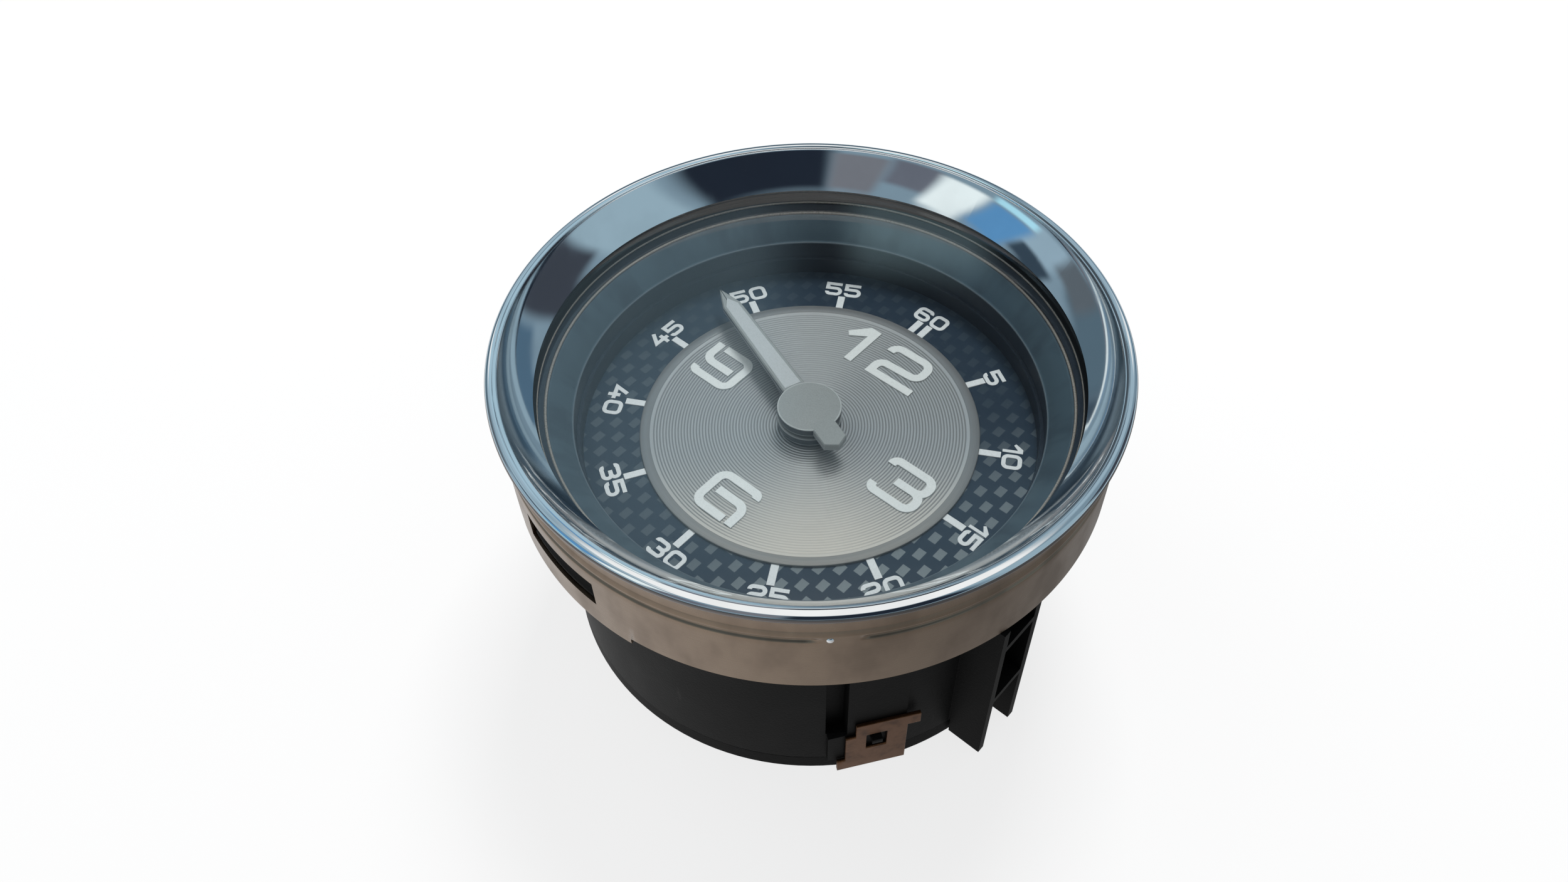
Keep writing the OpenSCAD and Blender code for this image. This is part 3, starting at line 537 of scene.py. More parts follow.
@dataclass(frozen=True)
class CheckPrint(Finish):
    """Dark dial print with staggered paler rectangles of a glossier ink, which a painted glare makes stronger
    towards the bottom and one side.
    """

    block: Colour = (0.1, 0.1, 0.1)
    block_size: Point2 = (0.86, 1.17)
    pitch: Point2 = (1.494, 2.408)
    start: Point2 = (-0.15, -0.32)
    soft: float = 0.03
    # Direction and span of the painted glare that makes the rectangles stronger towards one side
    strong_side: Point2 = (0.906, 0.42)
    strong_span: Point2 = (4.0, 22.0)

    def shade(self, paint: Paint) -> Wire:
        """Writes the rectangles, with every other column shifted by half a row, and a painted glare that
        makes them stronger towards the bottom and one side.

        Args:
            paint: The node tree to write into.

        Returns:
            The shader.
        """
        spot = paint.place()
        x, y, _ = paint.parts(spot)
        across = (x - self.start[0]) / self.pitch[0]
        column = across.nearest()
        odd = abs(column).math("MODULO", 2.0)
        along = (y - self.start[1]) / self.pitch[1] - odd * 0.5
        off_x = abs(across - column) * self.pitch[0]
        off_y = abs(along - along.nearest()) * self.pitch[1]
        within = [off.ease(size / 2 - self.soft, size / 2 + self.soft, 1.0, 0.0)
                  for off, size in zip((off_x, off_y), self.block_size)]
        inside = within[0] * within[1]
        fleck = paint.noise(spot, 0.14, 2.0)
        # Painted glare: the rectangles grow stronger towards the bottom and towards one side
        painted_glare = (x * self.strong_side[0] - y * self.strong_side[1]).ease(*self.strong_span)
        share = inside * (0.08 + 0.16 * y.ease(4.0, -12.0) + 0.76 * painted_glare) * (0.85 + 0.3 * fleck)
        colour = paint.mix(share, self.colour, self.block)
        rough = self.roughness - 0.1 * inside + 0.12 * (fleck - 0.5)
        return paint.principled(Base_Color=colour, Roughness=rough, Specular_IOR_Level=0.35,
                                Normal=paint.bump(fleck, 0.004))


@dataclass(frozen=True)
class PlainPrint(Finish):
    """Pale ink or enamel with a faint speckle."""

    metallic: float = 0.0
    specular: float = 0.5

    def shade(self, paint: Paint) -> Wire:
        """Writes speckled pale ink.

        Args:
            paint: The node tree to write into.

        Returns:
            The shader.
        """
        spot = paint.place()
        fleck = paint.noise(spot, 0.12, 3.0, 0.6)
        colour = paint.mix(fleck.ease(0.4, 0.75), self.colour, self.darker(0.86))
        rough = self.roughness + 0.15 * (fleck - 0.5)
        return paint.principled(Base_Color=colour, Metallic=self.metallic, Roughness=rough,
                                Specular_IOR_Level=self.specular, Normal=paint.bump(fleck, 0.003))


@dataclass(frozen=True)
class Turned(Finish):
    """Fine-turned metal with painted shade at the bottom of its cut grooves, strongest on two sides, a
    painted sheen towards one side, and a plain darker border.
    """

    pitch: float = 0.305
    outer: float = 15.75
    border: float = 16.0
    # Azimuth of the two sides where the painted groove shade is strongest; the painted sheen grows towards a
    # quarter turn clockwise from it
    across: float = 42.0
    sheen: Colour = (0.5, 0.5, 0.5)

    def shade(self, paint: Paint) -> Wire:
        """Writes the grooves' painted shade, strongest on two sides, a painted sheen towards one side, and
        rings whose gloss changes.

        Args:
            paint: The node tree to write into.

        Returns:
            The shader.
        """
        x, y, _ = paint.parts(paint.place())
        radius = paint.radius(x, y)
        cx, cy = polar(1.0, self.across)
        # Painted shade: the grooves darken most on the two sides along the across azimuth
        side = abs((x * cx + y * cy) / radius).ease(0.1, 0.8, 0.25, 1.0)
        turn = (self.outer - radius) / self.pitch
        groove = abs(turn - turn.nearest()).ease(0.12, 0.46) * (radius < self.outer) * side
        rings = paint.noise(paint.vector(radius, 0.0, 0.0), 0.1, 3.0, 0.7)
        broad = paint.noise(paint.vector(radius, 3.0, 0.0), 1.6, 2.0)
        groove_shade_and_border = 0.72 * groove + 0.12 * rings.ease(0.35, 0.7) + 0.7 * (radius > self.border)
        # Painted sheen: the metal brightens towards one side of the disc
        metal = paint.mix((x * cy - y * cx).ease(2.0, 17.0), self.colour, self.sheen)
        colour = paint.mix(groove_shade_and_border, metal, self.darker(0.34))
        rough = self.roughness + 0.16 * (rings - 0.5) + 0.1 * (broad - 0.5) + 0.1 * groove
        return paint.principled(Base_Color=colour, Metallic=0.35, Roughness=rough,
                                Normal=paint.bump(rings, 0.004))


@dataclass(frozen=True)
class Wound(Finish):
    """Fine enamelled wire, wound along X."""

    wire: float = 0.12

    def shade(self, paint: Paint) -> Wire:
        """Writes the turns as close ridges.

        Args:
            paint: The node tree to write into.

        Returns:
            The shader.
        """
        x, _, _ = paint.parts(paint.place())
        ridge = abs((x / self.wire).math("SINE"))
        colour = paint.mix(ridge, self.darker(0.35), self.colour)
        return paint.principled(Base_Color=colour, Metallic=0.7, Roughness=self.roughness + 0.2 * (1 - ridge),
                                Normal=paint.bump(ridge, 0.05))


@dataclass(frozen=True)
class BoardMask(Finish):
    """Green solder mask over faint tracks."""

    track: Colour = (0.1, 0.2, 0.1)
    lane_w: float = 0.8
    run: float = 3.0

    def shade(self, paint: Paint) -> Wire:
        """Writes tracks that run along X and Y.

        Args:
            paint: The node tree to write into.

        Returns:
            The shader.
        """
        x, y, _ = paint.parts(paint.place())
        across = y / self.lane_w
        lane = paint.noise(paint.vector((x / self.run).nearest(), across.nearest(), 0.0), 1.0, 0.0)
        track = (abs(across - across.nearest()) < 0.28) * (lane > 0.5)
        weave = paint.noise(paint.place(), 0.3, 2.0)
        colour = paint.mix(track, self.colour, self.track)
        rough = self.roughness + 0.1 * (weave - 0.5)
        return paint.principled(Base_Color=colour, Roughness=rough, Coat_Weight=0.3,
                                Normal=paint.bump(track * 0.8 + weave * 0.2, 0.02))


class Look(Enum):
    """The finishes of the clock, one for each material slot of the part and some shades of them."""

    BEZEL = BrightPlate("bezel_chrome", (0.87, 0.88, 0.89), 0.05)
    # Painted shade: dark plating that darkens the lip's underside
    UNDERLIP = BrightPlate("bezel_undercut_shade", (0.15, 0.135, 0.13), 0.2)
    # Painted reflection: the tan tone and its vertical streaks stand for a brown table mirrored in the neck
    # and skirt
    SKIRT = SatinMetal("bezel_satin_reflection", (0.245, 0.184, 0.136), 0.27, second=(0.196, 0.146, 0.107))
    LENS = Clear("lens_clear", (0.98, 0.99, 0.985), 0.0, ior=1.04, coat=1.0)
    GASKET = Moulded("black_rubber", tone(16, 17, 18), 0.6, grain=0.15, wear=tone(32, 33, 34))
    SURROUND = SatinMetal("surround_grey", tone(66, 85, 96), 0.42, line=0.09, second=tone(51, 66, 77),
                          metallic=0.3)
    BEAD = PlainPrint("surround_bead", tone(152, 146, 138), 0.28, metallic=0.4)
    RIM = PlainPrint("surround_rim", tone(88, 100, 108), 0.34, metallic=0.3)
    WELL = Moulded("surround_well", tone(21, 30, 41), 0.5, grain=0.2, wear=tone(31, 41, 52))
    DIAL = CheckPrint("dial_print", tone(29, 43, 57), 0.42, block=tone(112, 122, 126))
    # Turned disc with painted shade in its grooves and a painted sheen towards one side
    DISC = Turned("turned_disc", tone(168, 172, 174), 0.3, sheen=tone(210, 205, 196))
    MARKS = PlainPrint("white_print", tone(212, 217, 219), 0.5)
    NUMERALS = PlainPrint("numeral_silver", tone(212, 217, 217), 0.34)
    GUIDE = Clear("clear_plastic", (0.93, 0.95, 0.95), 0.12)
    HOUSING = Moulded("housing_black", tone(12, 12, 12), 0.5, wear=tone(22, 21, 20), specular=0.06)
    SCREWS = PlainMetal("steel_screws", tone(190, 190, 186), 0.3, tarnish=tone(140, 138, 132))
    CLIP = PlainMetal("clip_steel", tone(104, 73, 51), 0.36, tarnish=tone(76, 53, 38))
    PLATES = Moulded("plate_plastic", tone(214, 208, 190), 0.5, wear=tone(190, 184, 168))
    BRASS = PlainMetal("brass", tone(214, 178, 104), 0.28, tarnish=tone(168, 130, 70))
    ARBORS = PlainMetal("steel_arbors", tone(196, 198, 200), 0.22, tarnish=tone(150, 152, 154))
    IRON = PlainMetal("soft_iron", tone(150, 150, 152), 0.4, tarnish=tone(108, 106, 106))
    WIRE = Wound("copper_wire", tone(190, 104, 58), 0.35)
    BOARD = BoardMask("board_green", tone(18, 70, 44), 0.4, track=tone(34, 104, 66))
    COMPONENTS = Moulded("black_components", tone(30, 31, 34), 0.45, wear=tone(56, 57, 60))
    CRYSTAL = PlainMetal("crystal_can", tone(206, 208, 210), 0.26, tarnish=tone(168, 170, 172))
    LAMPS = Moulded("lamp_body", tone(232, 222, 160), 0.3, wear=tone(240, 236, 214))
    PINS = PlainMetal("pin_plating", tone(212, 206, 186), 0.24, tarnish=tone(168, 160, 140))
    WHEELS = Moulded("wheel_plastic", tone(206, 204, 196), 0.42, wear=tone(224, 222, 214))
    HANDS = PlainPrint("hand_satin", tone(146, 151, 151), 0.42, metallic=0.2)
    # Painted shade: the hands' side walls, darker than their faces
    HAND_SIDE = Moulded("hand_side", tone(80, 87, 91), 0.4, grain=0.12, wear=tone(102, 109, 112))
    # Painted highlight: the hub's top bevel and the tail's walls, paler than the faces
    HAND_EDGE = PlainPrint("hand_edge", tone(166, 172, 173), 0.34)
    # The cores' pale colour, also used as a painted highlight at the foot of the hands' sides
    INLAY = PlainPrint("inlay_white", tone(173, 179, 182), 0.4)

    def material(self) -> bpy.types.Material:
        """Gives the finish's material."""
        return self.value.material()


class Shape:
    """A mesh in the making, in millimetres of the part's frame."""

    def __init__(self) -> None:
        """Starts empty."""
        self.points: list[Point3] = []
        self.faces: list[tuple[tuple[int, ...], int]] = []

    def grid(self, rows: Sequence[Sequence[Point3]], around: bool = False, closed: bool = False,
             skin: int = 0) -> None:
        """Adds a sheet of four-cornered faces.

        Args:
            rows: Rows of points, all of one length.
            around: Whether the last row joins the first.
            closed: Whether the last point of each row joins its first.
            skin: Which of the piece's materials it takes.
        """
        start = len(self.points)
        wide = len(rows[0])
        self.points += [point for row in rows for point in row]
        for i in range(len(rows) - (0 if around else 1)):
            ahead = (i + 1) % len(rows)
            for j in range(wide - (0 if closed else 1)):
                beside = (j + 1) % wide
                corners = (i * wide + j, ahead * wide + j, ahead * wide + beside, i * wide + beside)
                self.faces.append((tuple(start + c for c in corners), skin))

    def cap(self, points: Sequence[Point3], skin: int = 0) -> None:
        """Adds one flat face."""
        start = len(self.points)
        self.points += list(points)
        self.faces.append((tuple(range(start, start + len(points))), skin))

    def lathe(self, profile: Sequence[Point2], azimuths: Sequence[float], skin: int = 0,
              closed: bool = True) -> None:
        """Adds a turned form.

        Args:
            profile: Radius and height of each point of the section.
            azimuths: Azimuths in degrees, once round.
            skin: Which of the piece's materials it takes.
            closed: Whether the section is closed.
        """
        rows = [[(*polar(r, a), z) for r, z in profile] for a in azimuths]
        self.grid(rows, True, closed, skin)

    def stroke(self, line: Sequence[Point2], width: float, low: float, high: float, bevel: float,
               loop: bool = False) -> None:
        """Adds a raised stroke of one width along a line.

        Args:
            line: The middle of the stroke.
            width: Its width.
            low: Its foot.
            high: Its top.
            bevel: Width and depth of the bevel on its top edges.
            loop: Whether the line's end joins its start.
        """
        spots = [Vector(p) for p in line]
        count = len(spots)
        rows = []
        for i, spot in enumerate(spots):
            before = spots[i - 1] if loop or i else None
            after = spots[(i + 1) % count] if loop or i < count - 1 else None
            ways = []
            if before:
                ways.append((spot - before).normalized())
            if after:
                ways.append((after - spot).normalized())
            way = sum(ways, Vector((0.0, 0.0))).normalized()
            side = Vector((-way.y, way.x)) / max(0.35, abs(way.dot(ways[0])))
            row = []
            for offset, z in ((-0.5, low), (-0.5, high - bevel), (-0.5 + bevel / width, high),
                              (0.5 - bevel / width, high), (0.5, high - bevel), (0.5, low)):
                at = spot + side * offset * width
                row.append((at.x, at.y, z))
            rows.append(row)
        self.grid(rows, loop, True)
        if not loop:
            self.cap(rows[0])
            self.cap(rows[-1])

    def slab(self, outline: Sequence[Point2], low: float, high: float, bevel: float, skin: int = 0,
             wall: int | None = None, foot: int | None = None) -> None:
        """Adds a plate with bevelled top edges.

        Args:
            outline: Its outline, anticlockwise.
            low: Its underside.
            high: Its top.
            bevel: Width and depth of the bevel.
            skin: Which of the piece's materials its top takes.
            wall: Which its side takes, if not the same.
            foot: Which the lowest part of its side takes, if not the same.
        """
        inner = self.inset(outline, bevel)
        rows = [[(x, y, z) for x, y in outline] for z in (low, low + FOOT_H, high - bevel)]
        top = [(x, y, high) for x, y in inner]
        side = skin if wall is None else wall
        if foot is None:
            self.grid(rows[::2], False, True, side)
        else:
            self.grid(rows[:2], False, True, foot)
            self.grid(rows[1:], False, True, side)
        self.grid([rows[2], top], False, True, skin)
        self.cap(top, skin)
        self.cap(list(reversed(rows[0])), skin)

    @staticmethod
    def inset(outline: Sequence[Point2], by: float) -> list[Point2]:
        """Moves an anticlockwise outline inwards.

        Args:
            outline: The outline.
            by: How far.

        Returns:
            The smaller outline.
        """
        spots = [Vector(p) for p in outline]
        moved = []
        for i, spot in enumerate(spots):
            back = (spot - spots[i - 1]).normalized()
            on = (spots[(i + 1) % len(spots)] - spot).normalized()
            way = (back + on).normalized()
            side = Vector((-way.y, way.x)) * by / max(0.35, way.dot(back))
            moved.append((spot.x + side.x, spot.y + side.y))
        return moved

    def moved(self, change: Callable[[Point3], Point3]) -> "Shape":
        """Moves every point.

        Args:
            change: Gives a point's new place.

        Returns:
            This shape.
        """
        self.points = [change(p) for p in self.points]
        return self

    def join(self, other: "Shape") -> None:
        """Takes in another shape's points and faces."""
        start = len(self.points)
        self.points += other.points
        self.faces += [(tuple(start + i for i in face), skin) for face, skin in other.faces]

    def piece(self, name: str, looks: Sequence[Look], body: str, slot: str, stands_for: Sequence[str] = (),
              crease: float = CREASE) -> None:
        """Makes the Blender object and ties it to the part.

        Args:
            name: The piece's name.
            looks: Its finishes, in the order of the skins.
            body: The body that it moves with.
            slot: The part's material slot; not used.
            stands_for: CAD nodes that it is shown in place of.
            crease: Angle above which an edge stays sharp, in degrees.
        """
        mesh = bpy.data.meshes.new(name)
        points = [tuple(c * MM for c in p) for p in self.points]
        mesh.from_pydata(points, [], [face for face, _ in self.faces])
        mesh.polygons.foreach_set("material_index", [skin for _, skin in self.faces])
        work = bmesh.new()
        work.from_mesh(mesh)
        bmesh.ops.remove_doubles(work, verts=work.verts, dist=1e-4 * MM)
        bmesh.ops.dissolve_degenerate(work, dist=1e-5 * MM, edges=work.edges)
        bmesh.ops.recalc_face_normals(work, faces=work.faces)
        work.to_mesh(mesh)
        work.free()
        mesh.shade_smooth()
        mesh.set_sharp_from_angle(angle=math.radians(crease))
        for look in looks:
            mesh.materials.append(look.material())
        made = bpy.data.objects.new(name, mesh)
        bpy.context.scene.collection.objects.link(made)
        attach(made, body)
        if stands_for:
            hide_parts(*stands_for)
        LOG.info("%s: %d faces", name, len(mesh.polygons))


def softened(node: bpy.types.Object, slot: str, width: float) -> bpy.types.Object:
    """Makes a piece of a CAD node's form with rounded edges, shown in place of the node.

    Args:
        node: The CAD node, which is left as it is.
        slot: The part's material slot; not used.
        width: Width of the rounding in millimetres.

    Returns:
        The piece.
    """
    name = f"{node.name}_form"
    mesh = node.data.copy()
    mesh.name = name
    made = bpy.data.objects.new(name, mesh)
    bpy.context.scene.collection.objects.link(made)
    weld = made.modifiers.new("weld", "WELD")
    weld.merge_threshold = 1e-3 * MM
    edge = made.modifiers.new("edge", "BEVEL")
    edge.width = width * MM
    edge.segments = 2
    edge.limit_method = "ANGLE"
    edge.angle_limit = math.radians(CREASE)
    made.modifiers.new("level", "WEIGHTED_NORMAL")
    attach(made, "case")
    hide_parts(node.name)
    LOG.info("%s: edges of %.2f mm", name, width)
    return made


ROUND = spread(0.0, 360.0, 288)[:-1]


@dataclass
class Bezel:
    """Bright ring: flared cone, rolled lip, neck, groove with a pip, and skirt with latch windows."""

    rim_r: float = 30.0
    rim_z: float = 34.8
    lip_r: float = 0.6
    land_r: float = 2.2
    land_angle: float = 78.0
    line_angle: float = 87.0
    line_d: float = 0.05
    crown_r: float = 0.12
    cone_r: Point2 = (26.1, 28.76)
    cone_z: float = 31.1
    cone_sag: float = 0.3
    neck_r: float = 29.25
    neck_d: tuple[float, float, float] = (3.3, 1.62, 1.45)
    fillet_r: float = 0.12
    back_r: Point2 = (26.95, 28.25)
    back_z: float = 32.95
    skirt_r: Point2 = (28.65, 29.45)
    groove_z: Point2 = (30.0, 30.9)
    groove_d: float = 0.2
    pip_az: float = -46.0
    pip_gap: float = 3.0
    pip_r: float = 0.32
    pip_h: float = 0.15
    skirt_z: float = 23.05
    tab_z: float = 22.3
    tab_w: float = 17.0
    latch_azs: tuple[float, float] = (-98.0, 82.0)
    window_w: float = 10.0
    window_z: Point2 = (25.4, 28.6)
    join_z: float = 29.3
    run_out: float = 1.8
    shade_angle: float = 30.0

    def plain_arc(self) -> Point2:
        """Gives the azimuths between which the groove is left out, at the pip."""
        half_gap = width_angle(self.pip_gap, self.skirt_r[1]) / 2
        middle = self.pip_az + half_gap - width_angle(2 * self.pip_r, self.skirt_r[1])
        return middle - half_gap, middle + half_gap

    def azimuths(self) -> list[float]:
        """Gives azimuths once round, with the ends of groove, tabs and windows among them.

        Returns:
            The azimuths in degrees, sorted.
        """
        start, end = self.plain_arc()
        marks = [start - self.run_out, start, end, end + self.run_out]
        for az in self.latch_azs:
            for width in (self.tab_w, self.window_w):
                half = width_angle(width, self.skirt_r[1]) / 2
                marks += [az - half, az + half]
        marks = [m % 360 for m in marks]
        even = [a for a in spread(0.0, 360.0, 360)[:-1] if min(abs(a - m) for m in marks) > 0.2]
        return sorted(even + marks)

    def section(self, cut: float) -> tuple[list[Point2], list[Point2], list[Point2]]:
        """Gives the ring's section above the skirt, from its outer to its inner foot.

        Args:
            cut: Share of the groove's depth.

        Returns:
            Radius and height of each point of the neck, the lip's underside, and the lip's top with the cone.
        """
        outer = self.skirt_r[1]
        low, high = self.groove_z
        neck = [(outer, self.join_z)]
        for t in spread(0.0, 1.0, 12):
            dip = 0.5 - 0.5 * math.cos(2 * math.pi * t)
            neck.append((outer - self.groove_d * cut * dip, low + (high - low) * t))
        foot, waist, head = (self.rim_z - d for d in self.neck_d)
        neck.append((outer, high + 0.14))
        neck += arc((self.neck_r + self.fillet_r, foot), self.fillet_r, 200, 180, 2)
        neck += [(self.neck_r, waist), (self.neck_r + 0.03, head)]
        lip = (self.rim_r - self.lip_r, self.rim_z - self.lip_r - 0.08)
        under = [neck[-1], *arc(lip, self.lip_r, -78, self.shade_angle, 12)]
        top = arc(lip, self.lip_r, self.shade_angle, self.land_angle, 10)
        cx, cy = polar(self.land_r - self.lip_r, self.land_angle)
        land = (lip[0] - cx, lip[1] - cy)
        line_r, line_z = polar(self.land_r, self.line_angle)
        top += arc(land, self.land_r, self.land_angle + 1.0, self.line_angle - 1.5, 4)
        top.append((land[0] + line_r, land[1] + line_z - self.line_d))
        top += arc(land, self.land_r, self.line_angle + 1.5, 95, 4)
        crown = top[-1][1] - self.crown_r
        top += arc((self.cone_r[1] + self.crown_r, crown), self.crown_r, 100, 165, 6)
        for t in spread(1.0, 0.0, 18):
            bulge = 4 * self.cone_sag * t * (1 - t)
            top.append((self.cone_r[0] + (self.cone_r[1] - self.cone_r[0]) * t + bulge,
                        self.cone_z + (crown - self.cone_z) * t))
        top += [(self.cone_r[0] + 0.04, self.cone_z - 0.03), (self.back_r[0], self.cone_z),
                (self.back_r[1], self.back_z), (self.skirt_r[0], self.cone_z), (self.skirt_r[0], self.join_z)]
        return neck, under, top

    def build(self) -> None:
        """Builds the ring and its skirt."""
        shape = Shape()
        azimuths = self.azimuths()
        sheets: tuple[list, list, list] = ([], [], [])
        start, end = self.plain_arc()
        for az in azimuths:
            gap = min(abs(swing(az, start)), abs(swing(az, end)))
            inside = (az - start) % 360 <= end - start + 1e-6
            share = 0.0 if inside else min(1.0, gap / self.run_out)
            for rows, band in zip(sheets, self.section(share * share * (3 - 2 * share))):
                rows.append([(*polar(r, az), z) for r, z in band])
        # The neck and skirt take skin 1, whose tan tone is a painted reflection of a brown table
        for rows, skin in zip(sheets, (1, 2, 0)):
            shape.grid(rows, True, False, skin)
        self.skirt(shape, azimuths)
        self.pip(shape)
        # Skin 2, on the lip's underside, is a painted shade in dark plating
        looks = [Look.BEZEL, Look.SKIRT, Look.UNDERLIP]
        shape.piece("bezel_ring", looks, "case", "bezel_chrome", ["bezel"], 30.0)

    def skirt(self, shape: Shape, azimuths: Sequence[float]) -> None:
        """Adds the skirt as a wall of cells, some of them left out.

        Args:
            shape: The shape to add to.
            azimuths: Azimuths once round.
        """
        levels = [z + rise for z in (self.tab_z, self.skirt_z) for rise in (0.0, 0.08)]
        levels += [*self.window_z, self.join_z]
        count = len(azimuths)
        inner, outer = self.skirt_r

        def near(az: float, width: float) -> bool:
            """Tells whether an azimuth lies within a width at one of the latches."""
            half = width_angle(width, outer) / 2
            return any(abs(swing(az, latch)) < half for latch in self.latch_azs)

        def filled(i: int, j: int) -> bool:
            """Tells whether the wall has the cell at an azimuth's and a level's number.

            Args:
                i: Number of the azimuth.
                j: Number of the level.

            Returns:
                Whether the cell is there; the ring above the skirt counts as filled.
            """
            if not 0 <= j < len(levels) - 1:
                return j >= len(levels) - 1
            a, b = azimuths[i % count], azimuths[(i + 1) % count]
            middle = (a + b + (360 if b < a else 0)) / 2
            height = (levels[j] + levels[j + 1]) / 2
            if height < self.skirt_z:
                return near(middle, self.tab_w)
            hole = self.window_z[0] < height < self.window_z[1]
            return not (hole and near(middle, self.window_w))

        def corner(i: int, j: int, side: int) -> Point3:
            """Gives a corner of the wall, drawn in a little at its lower edges.

            Args:
                i: Number of the azimuth.
                j: Number of the level.
                side: 0 for the inner face, 1 for the outer.

            Returns:
                The point.
            """
            low_edge = j == 0 or (j == 2 and not (filled(i, 1) or filled(i - 1, 1)))
            r = (inner + 0.06 * low_edge, outer - 0.06 * low_edge)[side]
            return (*polar(r, azimuths[i % count]), levels[j])

        for i in range(count):
            for j in range(len(levels) - 1):
                if not filled(i, j):
                    continue
                for side in (0, 1):
                    ring = ((i, j), (i + 1, j), (i + 1, j + 1), (i, j + 1))
                    shape.cap([corner(*at, side) for at in ring], 1)
                for beyond, first, last in (((i, j - 1), (i, j), (i + 1, j)),
                                            ((i, j + 1), (i, j + 1), (i + 1, j + 1)),
                                            ((i - 1, j), (i, j), (i, j + 1)),
                                            ((i + 1, j), (i + 1, j), (i + 1, j + 1))):
                    if not filled(*beyond):
                        ends = ((first, 0), (last, 0), (last, 1), (first, 1))
                        shape.cap([corner(*at, side) for at, side in ends], 1)

    def pip(self, shape: Shape) -> None:
        """Adds the small round pip beside the end of the groove."""
        middle = sum(self.groove_z) / 2
        dome = Shape()
        rise = spread(0.0, math.pi / 2 - 0.02, 6)
        profile = [(self.pip_r * math.cos(t), self.pip_h * math.sin(t)) for t in rise]
        dome.lathe([(self.pip_r, -0.2), *profile, (0.0, self.pip_h)], spread(0, 360, 24)[:-1], 0, False)

        def turned(p: Point3) -> Point3:
            """Lays a point of the dome on the skirt."""
            x, y = polar(self.skirt_r[1] - 0.01 + p[2], self.pip_az)
            a = math.radians(self.pip_az)
            return x - p[0] * math.sin(a), y + p[0] * math.cos(a), middle + p[1]

        shape.join(dome.moved(turned))


@dataclass
class Front:
    """Gasket under the lens, and the stepped surround between lens and dial."""

    lens_r: float = 26.75
    gasket_in_r: float = 26.0
    top_z: float = 29.2
    edge_r: float = 23.0
    edge_z: float = 26.3
    sill_r: float = 22.6
    sill_z: float = 24.3
    dial_z: float = 22.3
    spigot_r: float = 23.8
    flange_z: float = 23.4
    bead_r: float = 0.14
    beads: tuple[Point2, Point2] = ((26.06, 29.42), (25.36, 28.52))
    steps: tuple[Point2, ...] = ((25.72, 28.95), (25.5, 28.8), (25.46, 28.5))
    cone_top: Point2 = (25.2, 28.42)
    lip_r: float = 0.12
    cone_sag: float = 0.12

    def surround(self) -> None:
        """Builds the surround, with two bright beads, a brushed cone and a dark well."""
        shape = Shape()
        brushed, bead, well, rim = range(4)
        shape.lathe([(self.spigot_r, self.dial_z), (self.spigot_r, self.flange_z),
                     (self.lens_r, self.flange_z), (self.lens_r, self.top_z),
                     (self.gasket_in_r, self.top_z), *self.steps, self.cone_top], ROUND, well, False)
        top_r, top_z = self.cone_top
        end_r = self.edge_r + self.lip_r
        fall = [(top_r + (end_r - top_r) * t - self.cone_sag * math.sin(math.pi * t),
                 top_z + (self.edge_z - top_z) * t) for t in spread(0.0, 1.0, 12)]
        shape.lathe(fall, ROUND, brushed, False)
        lip = [fall[-1], *arc((end_r, self.edge_z - self.lip_r), self.lip_r, 90, 180, 4)]
        shape.lathe(lip, ROUND, rim, False)
        shape.lathe([lip[-1], (self.edge_r, self.sill_z + 0.1), (self.edge_r - 0.04, self.sill_z),
                     (self.sill_r + 0.06, self.sill_z), (self.sill_r, self.sill_z - 0.06),
                     (self.sill_r, self.dial_z), (self.spigot_r, self.dial_z)], ROUND, well, False)
        for centre in self.beads:
            shape.lathe(arc(centre, self.bead_r, 0, 330, 11), ROUND, bead)
        looks = [Look.SURROUND, Look.BEAD, Look.WELL, Look.RIM]
        shape.piece("dial_surround_ring", looks, "case", "surround_grey", ["dial_surround"], 40.0)

    def build(self, nodes: dict[str, bpy.types.Object]) -> None:
        """Builds the surround and the gasket.

        Args:
            nodes: The CAD nodes.
        """
        self.surround()
        softened(nodes["lens_gasket"], "black_rubber", 0.08)


